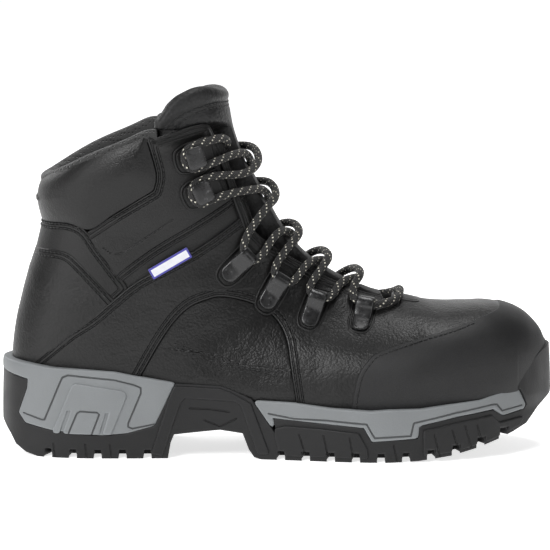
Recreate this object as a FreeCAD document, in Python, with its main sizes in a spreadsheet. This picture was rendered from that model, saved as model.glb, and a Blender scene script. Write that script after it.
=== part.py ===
import FreeCAD, Part

import math
import os

import Sketcher

Vector = FreeCAD.Vector
Placement = FreeCAD.Placement
Rotation = FreeCAD.Rotation

doc = FreeCAD.newDocument("work_boot")

# ---------------------------------------------------------------- driving sizes, in millimetres

DIMENSIONS = {
    "leather": 2.0,            # base leather of vamp and quarters
    "overlay": 1.5,            # leather or coated pieces sewn over the base leather
    "layer_gap": 0.1,          # glue line between two layers
    "steel": 1.8,              # wall of the toe cap, and of the heel stiffener
    "lining": 1.6,             # mesh lining with its membrane
    "lining_depth": 4.4,       # lining's outer face, below the leather's outer face
    "board": 2.0,
    "footbed_height": 5.0,
    "footbed_clearance": 0.9,
    "lace": 4.5,               # diameter of the round lace
    "metal": 1.2,              # plate thickness of loops and hooks
    "loop_width": 5.4,
    "loop_plate": 15.0,
    "loop_hole": 6.4,
    "loop_height": 7.6,
    "hook_width": 10.0,
    "hook_plate": 15.0,
    "hook_gap": 5.0,           # room for the lace under the hook's top plate
    "hook_neck": 5.0,
    "rivet_head": 5.0,
    "aglet_length": 18.0,
    "label_length": 25.0,
    "label_height": 6.0,
    "label_thickness": 0.8,
    "shank_length": 105.0,
    "shank_width": 16.0,
    "shank_thickness": 2.0,
    "groove_width": 4.6,
    "groove_depth": 5.0,
    "channel_width": 4.0,
    "below_tread": 4.0,        # the cutters start this far below the tread
    "side_reach": 70.0,        # half width that surely spans the boot
}

sheet = doc.addObject("Spreadsheet::Sheet", "dims")
for row, (alias, value) in enumerate(DIMENSIONS.items(), start=1):
    sheet.set("A%d" % row, alias)
    sheet.set("B%d" % row, str(value))
    sheet.setAlias("B%d" % row, alias)
doc.recompute()


def size(alias):
    return float(sheet.get(alias))


# ---------------------------------------------------------------- the boot's form
# The form is the outer face of the base leather. It is a fan of closed sections from the top of the
# shaft (station 0) round the instep to the toe (last station). Each section has a front point on the
# instep line, a rear point on the heel and bottom line, outer and inner half widths, a shift of its
# middle, the share of its depth where it is widest, and the roundness of its two ends.

STATIONS = [
    # front x, z     rear x, z      outer inner shift widest front rear
    (-28.5, 203.0, -127.0, 170.0, 43.0, 43.0, 0.0, 0.50, 2.1, 2.1),
    (-24.0, 183.0, -131.0, 151.0, 42.5, 42.5, 0.0, 0.50, 2.1, 2.1),
    (-16.0, 161.0, -131.5, 133.0, 40.5, 40.5, 0.0, 0.50, 2.1, 2.1),
    (-5.5, 141.0, -135.5, 114.0, 38.5, 38.5, 0.0, 0.50, 2.1, 2.2),
    (5.0, 123.5, -142.0, 90.0, 38.0, 37.5, 0.0, 0.52, 2.1, 2.3),
    (17.0, 111.0, -147.0, 66.0, 38.5, 37.5, 0.0, 0.54, 2.1, 2.4),
    (29.0, 103.0, -147.0, 46.0, 38.5, 37.0, 0.0, 0.56, 2.1, 2.5),
    (41.0, 96.5, -136.0, 32.0, 38.5, 36.5, 0.0, 0.60, 2.1, 2.7),
    (52.0, 92.0, -105.0, 29.5, 39.0, 36.5, 0.0, 0.62, 2.1, 3.0),
    (62.0, 88.3, -62.0, 26.0, 41.5, 38.5, 0.0, 0.62, 2.0, 3.2),
    (73.0, 85.3, -18.0, 21.5, 45.5, 42.5, 0.0, 0.62, 2.0, 3.3),
    (84.0, 83.0, 25.0, 17.0, 49.5, 47.0, 0.0, 0.60, 2.1, 3.4),
    (95.0, 81.8, 62.0, 15.5, 51.5, 49.5, 0.5, 0.58, 2.2, 3.4),
    (106.0, 81.8, 90.0, 16.5, 49.5, 49.0, 1.5, 0.56, 2.3, 3.3),
    (118.0, 82.0, 112.0, 19.0, 45.0, 46.5, 2.5, 0.55, 2.3, 3.1),
    (129.0, 80.0, 128.0, 23.0, 37.5, 40.5, 3.5, 0.54, 2.3, 2.9),
    (139.0, 75.5, 139.5, 28.0, 27.5, 30.5, 4.5, 0.53, 2.3, 2.7),
    (146.5, 68.0, 147.0, 34.5, 17.0, 19.0, 5.0, 0.52, 2.2, 2.5),
    (151.0, 60.0, 151.3, 41.5, 8.0, 8.5, 5.0, 0.50, 2.1, 2.2),
]
LAST = len(STATIONS) - 1
HALF_POINTS = 16               # points on each half of a section
PARAMETER_STEP = 0.05          # step along the fan for slopes


def station(u):
    """The section's numbers at a real-valued station, on a smooth curve through the table."""
    i = min(max(int(math.floor(u)), 0), LAST - 1)
    f = u - i
    rows = [STATIONS[min(max(i + k, 0), LAST)] for k in (-1, 0, 1, 2)]
    if f < 0.0 or f > 1.0:
        return [b + (c - b) * f for b, c in zip(rows[1], rows[2])]
    return [
        b + 0.5 * f * (c - a + f * (2 * a - 5 * b + 4 * c - d + f * (3 * (b - c) + d - a)))
        for a, b, c, d in zip(*rows)
    ]


def section_point(u, angle, side):
    """A point of the section at station u. angle runs from 0 at the front to pi at the rear."""
    fx, fz, rx, rz, outer, inner, shift, widest, front, rear = station(u)
    power = 2.0 / (front if angle < math.pi / 2 else rear)
    depth = abs(math.cos(angle)) ** power
    along = widest * (1 - depth) if angle < math.pi / 2 else widest + (1 - widest) * depth
    half = (outer if side < 0 else inner) * max(math.sin(angle), 0.0) ** power
    return Vector(fx + (rx - fx) * along, shift + side * half, fz + (rz - fz) * along)


def half_section(u, side, count=HALF_POINTS):
    """Evenly spaced points from the front to the rear of one half of a section."""
    fine = 160
    dense = [section_point(u, math.pi * i / fine, side) for i in range(fine + 1)]
    reach = [0.0]
    for a, b in zip(dense, dense[1:]):
        reach.append(reach[-1] + (b - a).Length)
    points = []
    j = 0
    for i in range(count + 1):
        want = reach[-1] * i / count
        while j < fine - 1 and reach[j + 1] < want:
            j += 1
        f = (want - reach[j]) / max(reach[j + 1] - reach[j], 1e-9)
        points.append(dense[j] + (dense[j + 1] - dense[j]) * f)
    return points


def ring(u):
    """The closed section at station u: down the outer side, then back up the inner side."""
    outer = half_section(u, -1)
    inner = half_section(u, 1)
    return outer + inner[-2:0:-1]


def offset_ring(u, offset):
    """The section moved outward by offset along the form's own normals."""
    here = ring(u)
    before = ring(u - PARAMETER_STEP)
    after = ring(u + PARAMETER_STEP)
    count = len(here)
    flat_end = u <= 0 or u >= LAST
    fx, fz, rx, rz = station(u)[:4]
    plane_normal = Vector(fz - rz, 0, rx - fx).normalize()
    moved = []
    for i, point in enumerate(here):
        around = here[(i + 1) % count] - here[i - 1]
        along = after[i] - before[i]
        normal = around.cross(along).normalize()
        if flat_end:
            normal = (normal - plane_normal * normal.dot(plane_normal)).normalize()
        moved.append(point + normal * offset)
    if u >= LAST:
        centre = sum(here, Vector()) * (1.0 / count)
        shrink = max(0.3, 1 + offset / 10.0)
        forward = Vector(offset, 0, 0)
        moved = [centre + (point - centre) * shrink + forward for point in here]
    return moved


def form(offset):
    """The closed solid of the whole boot form, moved outward by offset."""
    rows = []
    for i in range(LAST + 1):
        points = offset_ring(float(i), offset)
        rows.append(points + points[:1])
    surface = Part.BSplineSurface()
    surface.interpolate(rows)
    top, tip = surface.bounds()[:2]
    ends = [Part.Face(Part.Wire([surface.uIso(u).toShape()])) for u in (top, tip)]
    shell = Part.makeShell([surface.toShape()] + ends)
    shell.sewShape()
    solid = Part.makeSolid(shell)
    if solid.Volume < 0:
        solid.reverse()
    return solid


def skin(u, y, lift):
    """A point at station u and sideways place y, lifted off the form, and the normal there."""
    side = -1 if y < 0 else 1
    numbers = station(u)
    half = numbers[4] if side < 0 else numbers[5]
    share = min(abs(y - numbers[6]) / half, 1.0)
    angle = math.asin(share ** (numbers[8] / 2.0))
    step = 0.02
    here = section_point(u, angle, side)
    around = section_point(u, angle + step, side) - section_point(u, angle, side)
    along = section_point(u + PARAMETER_STEP, angle, side) - section_point(u, angle, side)
    normal = along.cross(around) if side > 0 else around.cross(along)
    normal.normalize()
    return here + normal * lift, normal


# ---------------------------------------------------------------- helpers for document objects


def feature(label, shape):
    """A document object that holds a shape made with Part's own functions."""
    made = doc.addObject("Part::Feature", label)
    made.Label = label
    made.Shape = shape
    return made


def side_sketch(label, runs):
    """A sketch in the side view (x, z). Each run is a line, or a curve through its points."""
    sketch = doc.addObject("Sketcher::SketchObject", label)
    sketch.Placement = Placement(Vector(), Rotation(Vector(1, 0, 0), 90))
    for run in runs:
        points = [Vector(x, z, 0) for x, z in run]
        if len(points) == 2:
            sketch.addGeometry(Part.LineSegment(points[0], points[1]))
        else:
            curve = Part.BSplineCurve()
            curve.interpolate(Points=points)
            sketch.addGeometry(curve)
    return sketch


def side_prism(label, runs, side=0):
    """A side-view outline carried across the boot, or over one side only."""
    prism = doc.addObject("Part::Extrusion", label)
    prism.Base = side_sketch(label + "_outline", runs)
    prism.DirMode = "Custom"
    prism.Dir = Vector(0, 1, 0)
    prism.Solid = True
    if side < 0:
        prism.Dir = Vector(0, -1, 0)
    prism.setExpression("LengthFwd", "dims.side_reach")
    if side == 0:
        prism.setExpression("LengthRev", "dims.side_reach")
    return prism


def boolean(kind, label, base, tool):
    made = doc.addObject("Part::" + kind, label)
    made.Label = label
    made.Base = base
    made.Tool = tool
    return made


def common(label, base, tool):
    return boolean("Common", label, base, tool)


def cut(label, base, tool):
    return boolean("Cut", label, base, tool)


def polygon(*points):
    """Runs of a closed outline with straight sides."""
    return [[a, b] for a, b in zip(points, points[1:] + points[:1])]


exported = []


def keep(node):
    exported.append(node)
    return node


# ---------------------------------------------------------------- layers of the upper

leather = size("leather")
gap = size("layer_gap")
overlay_in = gap
overlay_out = overlay_in + size("overlay")
inner_in = -leather - gap
lining_out = -size("lining_depth")
lining_in = lining_out - size("lining")

form_overlay = feature("form_overlay", form(overlay_out))
form_overlay_base = feature("form_overlay_base", form(overlay_in))
form_leather = feature("form_leather", form(0.0))
form_leather_back = feature("form_leather_back", form(-leather))
form_stiff = feature("form_stiff", form(inner_in - gap))
form_stiff_back = feature("form_stiff_back", form(inner_in - gap - size("steel")))
form_lining = feature("form_lining", form(lining_out))
form_lining_back = feature("form_lining_back", form(lining_in))

overlay_shell = cut("overlay_shell", form_overlay, form_overlay_base)
leather_shell = cut("leather_shell", form_leather, form_leather_back)
stiff_shell = cut("stiff_shell", form_stiff, form_stiff_back)
lining_shell = cut("lining_shell", form_lining, form_lining_back)

# Shared lines of the side view.
COLLAR_FRONT = [(-72.4, 180.2), (-67.8, 167.0), (-66.3, 158.6), (-67.9, 151.2)]
COLLAR_TOP = [(-140.0, 154.0), (-128.8, 155.1), (-105.1, 167.1), (-83.7, 175.1), (-72.4, 180.2)]
COLLAR_LOW = [(-67.9, 151.2), (-76.4, 146.1), (-90.5, 137.5), (-103.5, 128.6), (-115.8, 131.2),
              (-128.0, 131.0), (-140.0, 130.6)]
BAND_LOW = [(-145.0, 115.4), (-134.0, 115.8), (-124.8, 116.2), (-116.4, 114.8), (-108.5, 108.5),
            (-90.5, 90.0)]
EYE_LINE = [(-34.0, 180.0), (-28.5, 168.0), (-22.8, 151.0), (-17.2, 136.5), (-12.7, 126.5),
            (-0.8, 116.2), (18.9, 103.4), (33.0, 96.0), (47.6, 90.0), (66.0, 84.4)]
ANKLE_TOP = [(-66.8, 180.5), (-56.0, 184.0), (-45.4, 187.0), (-38.0, 187.0), (-34.0, 180.0)]
SEAM = [(66.0, 84.4), (64.0, 70.0), (58.0, 60.5), (47.0, 46.0), (42.0, 31.0), (38.0, 14.0)]
SOLE_CUT = 5.0                 # the upper's lower edge stands this far above the form's bottom
TOE_CUT = 138.0                # forward of this x the lower edge is level


def bottom_height(x):
    """Height of the form's bottom line at x, forward of the heel's back."""
    line = [(row[2], row[3]) for row in STATIONS[6:]]
    for (x0, z0), (x1, z1) in zip(line, line[1:]):
        if x <= x1:
            return z0 + (z1 - z0) * (x - x0) / (x1 - x0)
    return line[-1][1]


def bottom_line(start, end, rise):
    """Points along the form's bottom, raised by rise."""
    steps = 10
    xs = [start + (end - start) * i / steps for i in range(steps + 1)]
    return [(x, bottom_height(x) + rise) for x in xs]


def shift(points, dx, dz=0.0):
    return [(x + dx, z + dz) for x, z in points]


upper_bottom = bottom_line(-128.0, 38.0, SOLE_CUT)
quarter_runs = [
    COLLAR_LOW[::-1],
    [COLLAR_LOW[0], (-66.3, 158.6)],
    [(-66.3, 158.6), (-65.0, 167.0), (-66.8, 180.5)],
    ANKLE_TOP,
    EYE_LINE,
    SEAM[:5],
    [SEAM[4], upper_bottom[-1]],
    upper_bottom[::-1],
    [upper_bottom[0], (-156.0, 46.0)],
    [(-156.0, 46.0), COLLAR_LOW[-1]],
]


def quarter(label, side):
    return keep(common(label, leather_shell, side_prism(label + "_prism", quarter_runs, side)))


quarter("quarter_outer", -1)
quarter("quarter_inner", 1)

seam_front = shift(SEAM[:5], 1.1)
vamp_bottom = bottom_line(38.4, TOE_CUT, SOLE_CUT) + [(162.0, bottom_height(TOE_CUT) + SOLE_CUT)]
vamp_runs = polygon((66.4, 96.0), *seam_front, *vamp_bottom, (162.0, 96.0))
keep(common("vamp", leather_shell, side_prism("vamp_prism", vamp_runs)))

# Toe guard: its rear edge sweeps up and forward, and a peak points back along the middle.
guard_bottom = bottom_line(39.5, TOE_CUT, SOLE_CUT) + [(162.0, bottom_height(TOE_CUT) + SOLE_CUT)]
guard_edge = [(41.4, 31.0), (45.4, 45.1), (51.6, 55.4), (58.9, 60.0), (80.3, 66.2), (107.9, 71.7),
              (124.8, 76.2)]
guard_runs = [
    [guard_bottom[0], guard_edge[0]],
    guard_edge,
    [guard_edge[-1], (127.0, 92.0)],
    [(127.0, 92.0), (162.0, 92.0)],
    [(162.0, 92.0), guard_bottom[-1]],
] + [[a, b] for a, b in zip(guard_bottom[::-1], guard_bottom[-2::-1])]
keep(common("toe_guard", overlay_shell, side_prism("toe_guard_prism", guard_runs)))

# Throat patch: a short piece of leather over the middle of the vamp's rear edge.
PATCH_HALF = 11.0
PATCH_STATIONS = [9.45, 9.65, 9.85, 10.05, 10.25, 10.45, 10.65]
PATCH_SIDES = [-1.0, -0.75, -0.5, -0.25, 0.0, 0.25, 0.5, 0.75, 1.0]
PATCH_LIFT = 0.3
PATCH_THICKNESS = 1.4
patch_points = [
    [skin(u, PATCH_HALF * share, PATCH_LIFT)[0] for share in PATCH_SIDES] for u in PATCH_STATIONS
]
patch_face = Part.BSplineSurface()
patch_face.interpolate(patch_points)
patch_up = skin(PATCH_STATIONS[3], 0.001, 0.0)[1]
keep(feature("throat_patch", patch_face.toShape().extrude(patch_up * PATCH_THICKNESS)))

arch_line = [(-76.4, 45.9), (-62.3, 69.8), (-50.4, 84.0), (-38.6, 89.7), (-29.0, 90.9), (-13.2, 86.9),
             (-0.8, 78.9), (5.9, 67.5), (8.6, 52.8), (12.7, 33.0)]
arch_bottom = bottom_line(-78.0, 13.0, SOLE_CUT)
arch_runs = [
    arch_line,
    [arch_line[-1], arch_bottom[-1]],
    arch_bottom[::-1],
    [arch_bottom[0], arch_line[0]],
]
counter_runs = [
    BAND_LOW,
    [BAND_LOW[-1], (-135.0, 51.0)],
    [(-135.0, 51.0), (-152.0, 46.0)],
    [(-152.0, 46.0), BAND_LOW[0]],
]
band_low = shift(BAND_LOW, 0.3, 0.5)
band_top = [(-145.0, 130.0), (-131.0, 130.0), (-120.9, 129.8), (-112.4, 128.0), (-106.2, 124.0),
            (-97.8, 114.2), (-80.0, 97.0)]
band_runs = [band_top, [band_top[-1], band_low[-1]], band_low[::-1], [band_low[0], band_top[0]]]
strap_top = [(-83.9, 101.6), (-76.4, 117.1), (-60.0, 127.3), (-45.4, 137.0), (-30.2, 139.8)]
strap_low = [(-79.4, 97.4), (-65.1, 107.9), (-38.6, 121.0), (-20.6, 132.4)]
strap_runs = [
    strap_top,
    [strap_top[-1], (-21.6, 138.0)],
    [(-21.6, 138.0), strap_low[-1]],
    strap_low[::-1],
    [strap_low[0], strap_top[0]],
]
eye_back_low = [(58.0, 76.0), (40.0, 74.5), (20.0, 80.0), (0.0, 91.0), (-19.0, 104.0), (-26.0, 118.0),
                (-19.8, 130.0)]
eye_front_low = [(-15.2, 130.8)] + shift(EYE_LINE[4:], -0.6, -0.5)
eyestay_low_runs = [
    [(-19.8, 130.0), (-15.2, 130.8)],
    eye_front_low,
    [eye_front_low[-1], eye_back_low[0]],
    eye_back_low,
]
eyestay_high_runs = [
    [(-58.0, 180.5), (-45.4, 184.4)],
    [(-45.4, 184.4), (-38.6, 184.4)],
    [(-38.6, 184.4), (-34.8, 179.5)],
    [(-34.8, 179.5), (-29.3, 168.0), (-23.6, 151.0), (-19.6, 140.2)],
    [(-19.6, 140.2), (-32.0, 141.8)],
    [(-32.0, 141.8), (-46.0, 140.0)],
    [(-46.0, 140.0), (-62.0, 152.0), (-61.0, 166.0), (-58.0, 180.5)],
]

keep(common("heel_counter_cover", overlay_shell, side_prism("counter_prism", counter_runs)))
keep(common("heel_band", overlay_shell, side_prism("band_prism", band_runs)))
for name, side in (("outer", -1), ("inner", 1)):
    keep(common("arch_panel_" + name, overlay_shell,
                side_prism("arch_prism_" + name, arch_runs, side)))
    keep(common("ankle_strap_" + name, overlay_shell,
                side_prism("strap_prism_" + name, strap_runs, side)))
    keep(common("lace_facing_" + name, overlay_shell,
                side_prism("facing_prism_" + name, eyestay_low_runs, side)))
    keep(common("hook_facing_" + name, overlay_shell,
                side_prism("hook_facing_prism_" + name, eyestay_high_runs, side)))

# Collar: a padded roll around the rear of the shaft, a cover over foam.
collar_out = 3.0
cover_wall = 1.4
form_collar = feature("form_collar", form(collar_out))
form_cover_back = feature("form_cover_back", form(collar_out - cover_wall))
form_foam = feature("form_foam", form(collar_out - cover_wall - gap))
form_foam_back = feature("form_foam_back", form(lining_out + gap))
cover_shell = cut("cover_shell", form_collar, form_cover_back)
foam_shell = cut("foam_shell", form_foam, form_foam_back)
collar_low_up = shift(COLLAR_LOW, 0.0, 0.4)
collar_inner = [COLLAR_TOP, [COLLAR_TOP[-1], COLLAR_FRONT[1]], [COLLAR_FRONT[1], COLLAR_FRONT[2]],
                [COLLAR_FRONT[2], collar_low_up[0]], collar_low_up, [collar_low_up[-1], COLLAR_TOP[0]]]
collar_prism = side_prism("collar_prism", collar_inner)
keep(common("collar_cover", cover_shell, collar_prism))
keep(common("collar_foam", foam_shell, collar_prism))

# Lining: a sock from the collar to the toe, open at the top and along the tongue gap.
LINING_STEP = 5.5              # the lining ends this far behind the edge of the facing


def step_back(points, distance):
    """The points of a line moved down and to the rear, square to the line."""
    moved = []
    for i, (x, z) in enumerate(points):
        ax, az = points[max(i - 1, 0)]
        bx, bz = points[min(i + 1, len(points) - 1)]
        length = math.hypot(bx - ax, bz - az)
        moved.append((x + (bz - az) / length * distance, z - (bx - ax) / length * distance))
    return moved


eye_inner = step_back(EYE_LINE, LINING_STEP)
lining_runs = [
    [(-142.0, 156.0), (-128.8, 157.6), (-105.1, 169.6), (-83.7, 177.4), (-66.0, 181.6), (-45.4, 185.8)],
    [(-45.4, 185.8), (-42.0, 185.8)],
    [(-42.0, 185.8), eye_inner[0]],
    eye_inner,
    [eye_inner[-1], (66.0, 96.0)],
    [(66.0, 96.0), (162.0, 96.0)],
    [(162.0, 96.0), (162.0, 6.0)],
    [(162.0, 6.0), (-156.0, 6.0)],
    [(-156.0, 6.0), (-142.0, 156.0)],
]
keep(common("lining_sock", lining_shell, side_prism("lining_prism", lining_runs)))

# ---------------------------------------------------------------- stiff pieces inside

CAP_REAR = 95.0
CAP_STRIP = 4.0
board_top = leather + gap + size("board")
cap_bottom = bottom_line(CAP_REAR, TOE_CUT - 2.0, SOLE_CUT + 2.0)
cap_runs = polygon(
    (CAP_REAR - 2.0, 50.0), *cap_bottom, (162.0, cap_bottom[-1][1]), (162.0, 92.0), (CAP_REAR + 4.0, 92.0),
)
keep(common("steel_toe_cap", stiff_shell, side_prism("cap_prism", cap_runs)))
strip_runs = polygon(
    (CAP_REAR - 0.2, 25.0), (CAP_REAR - 2.2, 50.0), (CAP_REAR + 3.8, 92.0),
    (CAP_REAR + 3.8 - CAP_STRIP, 92.0), (CAP_REAR - 2.2 - CAP_STRIP, 50.0),
    (CAP_REAR - 0.2 - CAP_STRIP, 25.0),
)
keep(common("toe_cap_rim_strip", stiff_shell, side_prism("strip_prism", strip_runs)))

heel_runs = [
    [(-156.0, 46.0), (-130.0, 40.0)],
    [(-130.0, 40.0), (-84.0, 34.0)],
    [(-84.0, 34.0), (-80.0, 60.0)],
    [(-80.0, 60.0), (-92.0, 84.0), (-112.0, 98.0), (-150.0, 102.0)],
    [(-150.0, 102.0), (-156.0, 46.0)],
]
keep(common("heel_stiffener", stiff_shell, side_prism("heel_prism", heel_runs)))

BOARD_START = -124.0
BOARD_END = 138.0


def bottom_slab(label, low, high):
    """A slab that follows the form's bottom line between two heights above it."""
    lower = bottom_line(BOARD_START, BOARD_END, low)
    upper = bottom_line(BOARD_START, BOARD_END, high)
    runs = [[a, b] for a, b in zip(lower, lower[1:])]
    runs += [[lower[-1], upper[-1]]]
    runs += [[a, b] for a, b in zip(upper[::-1], upper[::-1][1:])]
    runs += [[upper[0], lower[0]]]
    return side_prism(label, runs)


form_board = feature("form_board", form(inner_in - 2 * gap))
form_over_board = feature("form_over_board", form(lining_out + gap))
form_footbed = feature("form_footbed", form(lining_in - size("footbed_clearance")))
board_blank = common("board_blank", form_board, bottom_slab("board_slab", 0.5, board_top))
board_layer = cut("board_layer", board_blank, form_over_board)
footbed_low = -lining_in + 0.6
keep(common("footbed", form_footbed,
            bottom_slab("footbed_slab", footbed_low, footbed_low + size("footbed_height"))))

# ---------------------------------------------------------------- sole unit

SOLE_OUTLINE = [
    (-155.0, -1.0), (-151.0, -18.0), (-141.0, -30.0), (-124.0, -39.0), (-103.0, -42.5), (-75.0, -42.5),
    (-45.0, -42.0), (-15.0, -44.5), (15.0, -50.0), (45.0, -56.0), (70.0, -57.0), (95.0, -53.0),
    (118.0, -43.0), (137.0, -27.0), (150.0, -9.0), (155.0, 7.0), (150.0, 25.0), (137.0, 39.0),
    (118.0, 49.0), (95.0, 54.0), (70.0, 54.0), (45.0, 50.0), (15.0, 45.0), (-15.0, 40.5),
    (-45.0, 39.0), (-75.0, 40.0), (-103.0, 40.5), (-124.0, 37.0), (-141.0, 28.0), (-151.0, 15.0),
]


def outline_prism(label, inset, low=-2.0, high=70.0):
    """The sole's plan outline, drawn in by inset, as an upright prism."""
    count = len(SOLE_OUTLINE)
    points = []
    for i, (x, y) in enumerate(SOLE_OUTLINE):
        ax, ay = SOLE_OUTLINE[i - 1]
        bx, by = SOLE_OUTLINE[(i + 1) % count]
        length = math.hypot(bx - ax, by - ay)
        points.append(Vector(x - (by - ay) / length * inset, y + (bx - ax) / length * inset, low))
    curve = Part.BSplineCurve()
    curve.interpolate(Points=points, PeriodicFlag=True)
    face = Part.Face(Part.Wire([curve.toShape()]))
    return feature(label, face.extrude(Vector(0, 0, high - low)))


GREY_PROUD = 0.6               # the grey blocks stand this far out of the black rubber
CORE_INSET = 4.5
outline_grey = outline_prism("outline_grey", 0.0)
outline_black = outline_prism("outline_black", GREY_PROUD)
outline_core = outline_prism("outline_core", CORE_INSET)

heel_block = polygon(
    (-157.0, 47.5), (-157.0, 54.0), (-140.0, 52.5), (-126.0, 51.0), (-108.0, 50.4), (-90.0, 49.2),
    (-77.0, 46.6), (-56.0, 43.0), (-67.9, 18.7), (-83.1, 14.4), (-97.8, 13.2), (-126.5, 15.6),
    (-141.0, 18.5), (-145.0, 24.0), (-140.0, 38.5), (-139.6, 43.5),
)
front_block = polygon(
    (-13.0, 33.6), (11.5, 32.6), (30.7, 30.2), (52.7, 29.0), (63.0, 29.8), (81.4, 30.2), (97.8, 32.2),
    (115.0, 33.8), (126.0, 37.0), (137.0, 37.2), (141.2, 28.0), (140.0, 25.6), (127.7, 23.6),
    (122.0, 27.8), (101.7, 25.2), (82.0, 21.2), (80.3, 20.0), (79.7, 13.8), (53.8, 11.8), (49.3, 19.7),
    (27.9, 21.4), (-1.4, 23.7), (0.8, 14.1),
)
core_block = polygon(
    (-150.0, 47.0), (-126.0, 48.0), (-77.0, 44.0), (-56.0, 40.5), (-20.0, 35.0), (-10.0, 31.0),
    (30.0, 27.6), (52.7, 26.4), (81.4, 27.6), (115.0, 31.0), (146.0, 38.0), (144.0, 27.0),
    (126.0, 18.0), (100.0, 12.0), (60.0, 10.5), (0.0, 11.0), (-13.0, 19.5), (-60.0, 19.5),
    (-80.0, 12.0), (-145.0, 14.0),
)
grey_heel = common("grey_heel", outline_grey, side_prism("heel_block", heel_block))
grey_front = common("grey_front", outline_grey, side_prism("front_block", front_block))
grey_core = common("grey_core", outline_core, side_prism("core_block", core_block))
grey_solid = doc.addObject("Part::MultiFuse", "grey_solid")
grey_solid.Shapes = [grey_heel, grey_front, grey_core]

form_cup = feature("form_cup", form(overlay_out + 0.3))
midsole_open = cut("midsole_open", grey_solid, form_cup)

shank = doc.addObject("PartDesign::Body", "shank")
shank.Label = "shank"
shank_sketch = shank.newObject("Sketcher::SketchObject", "shank_sketch")


def origin_plane(body, role):
    for item in body.Origin.OriginFeatures:
        if item.Role == role:
            return item
    raise ValueError(role)


def rectangle(sketch, x0, y0, width, height):
    """A rectangle from a fixed corner. width and height are aliases of the sheet."""
    w, h = size(width), size(height)
    corners = [Vector(x0, y0, 0), Vector(x0 + w, y0, 0), Vector(x0 + w, y0 + h, 0), Vector(x0, y0 + h, 0)]
    first = sketch.GeometryCount
    for a, b in zip(corners, corners[1:] + corners[:1]):
        sketch.addGeometry(Part.LineSegment(a, b))
    for i in range(4):
        sketch.addConstraint(Sketcher.Constraint("Coincident", first + i, 2, first + (i + 1) % 4, 1))
    for i, kind in enumerate(("Horizontal", "Vertical", "Horizontal", "Vertical")):
        sketch.addConstraint(Sketcher.Constraint(kind, first + i))
    sketch.addConstraint(Sketcher.Constraint("DistanceX", -1, 1, first, 1, x0))
    sketch.addConstraint(Sketcher.Constraint("DistanceY", -1, 1, first, 1, y0))
    across = sketch.addConstraint(Sketcher.Constraint("DistanceX", first, 1, first, 2, w))
    up = sketch.addConstraint(Sketcher.Constraint("DistanceY", first + 1, 1, first + 1, 2, h))
    sketch.setExpression("Constraints[%d]" % across, "dims." + width)
    sketch.setExpression("Constraints[%d]" % up, "dims." + height)


def circle(sketch, x, y, diameter):
    item = sketch.addGeometry(Part.Circle(Vector(x, y, 0), Vector(0, 0, 1), size(diameter) / 2))
    sketch.addConstraint(Sketcher.Constraint("DistanceX", -1, 1, item, 3, x))
    sketch.addConstraint(Sketcher.Constraint("DistanceY", -1, 1, item, 3, y))
    wide = sketch.addConstraint(Sketcher.Constraint("Radius", item, size(diameter) / 2))
    sketch.setExpression("Constraints[%d]" % wide, "dims.%s / 2" % diameter)


def new_sketch(body, name, role):
    sketch = body.newObject("Sketcher::SketchObject", name)
    sketch.AttachmentSupport = (origin_plane(body, role), [""])
    sketch.MapMode = "FlatFace"
    return sketch


def pad(body, name, sketch, length, midplane=False):
    made = body.newObject("PartDesign::Pad", name)
    made.Profile = sketch
    made.SideType = "Symmetric" if midplane else "One side"
    made.setExpression("Length", length)
    sketch.Visibility = False
    return made


shank_sketch.AttachmentSupport = (origin_plane(shank, "XY_Plane"), [""])
shank_sketch.MapMode = "FlatFace"
rectangle(shank_sketch, -size("shank_length") / 2, -size("shank_width") / 2, "shank_length", "shank_width")
shank_pad = pad(shank, "shank_pad", shank_sketch, "dims.shank_thickness")
doc.recompute()
shank_round = shank.newObject("PartDesign::Fillet", "shank_round")
shank_round.Base = (shank_pad, [
    "Edge%d" % (i + 1) for i, edge in enumerate(shank_pad.Shape.Edges)
    if abs(edge.tangentAt(edge.FirstParameter).z) > 0.9
])
shank_round.Radius = 5.0
SHANK_CENTRE = Vector(-38.0, -2.0, 20.9)
SHANK_TILT = 2.0
shank.Placement = Placement(SHANK_CENTRE, Rotation(Vector(0, 1, 0), SHANK_TILT))

shank_slot = doc.addObject("Part::Box", "shank_slot")
shank_slot.setExpression("Length", "dims.shank_length + 1")
shank_slot.setExpression("Width", "dims.shank_width + 1")
shank_slot.setExpression("Height", "dims.shank_thickness + 0.4")
shank_slot.Placement = shank.Placement.multiply(
    Placement(Vector(-size("shank_length") / 2 - 0.5, -size("shank_width") / 2 - 0.5, -0.2), Rotation())
)
keep(cut("midsole", midsole_open, shank_slot))
keep(shank)
keep(cut("insole_board", board_layer, shank_slot))

envelope = polygon(
    (-150.0, 11.0), (-146.8, 5.5), (-141.0, 1.8), (-133.9, 0.0), (-60.5, 0.0), (-58.9, 9.0), (-57.0, 13.6),
    (-31.0, 16.4), (-18.5, 14.6), (-15.0, 5.5), (-12.0, 1.2), (-8.0, 0.0), (62.0, 0.0), (80.0, 0.9),
    (98.0, 3.2), (112.0, 6.4), (124.0, 10.0), (134.0, 13.4), (142.0, 17.0), (149.0, 25.0), (157.0, 36.0),
    (157.0, 52.0), (152.0, 54.6), (143.0, 49.0), (136.0, 38.6), (126.0, 37.4), (115.0, 33.4),
    (97.8, 31.8), (81.4, 29.8), (63.0, 29.4), (52.7, 28.6), (30.7, 29.8), (11.5, 32.2), (-13.0, 34.0),
    (-25.0, 39.4), (-31.0, 41.4), (-56.0, 42.6), (-77.0, 46.2), (-90.0, 48.8), (-108.0, 50.0),
    (-126.0, 50.6), (-140.0, 52.0), (-157.0, 50.0), (-157.0, 24.0),
)
black_block = common("black_block", outline_black, side_prism("sole_envelope", envelope))
black_open = cut("black_open", black_block, grey_solid)
black_cup = cut("black_cup", black_open, form_cup)

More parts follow.
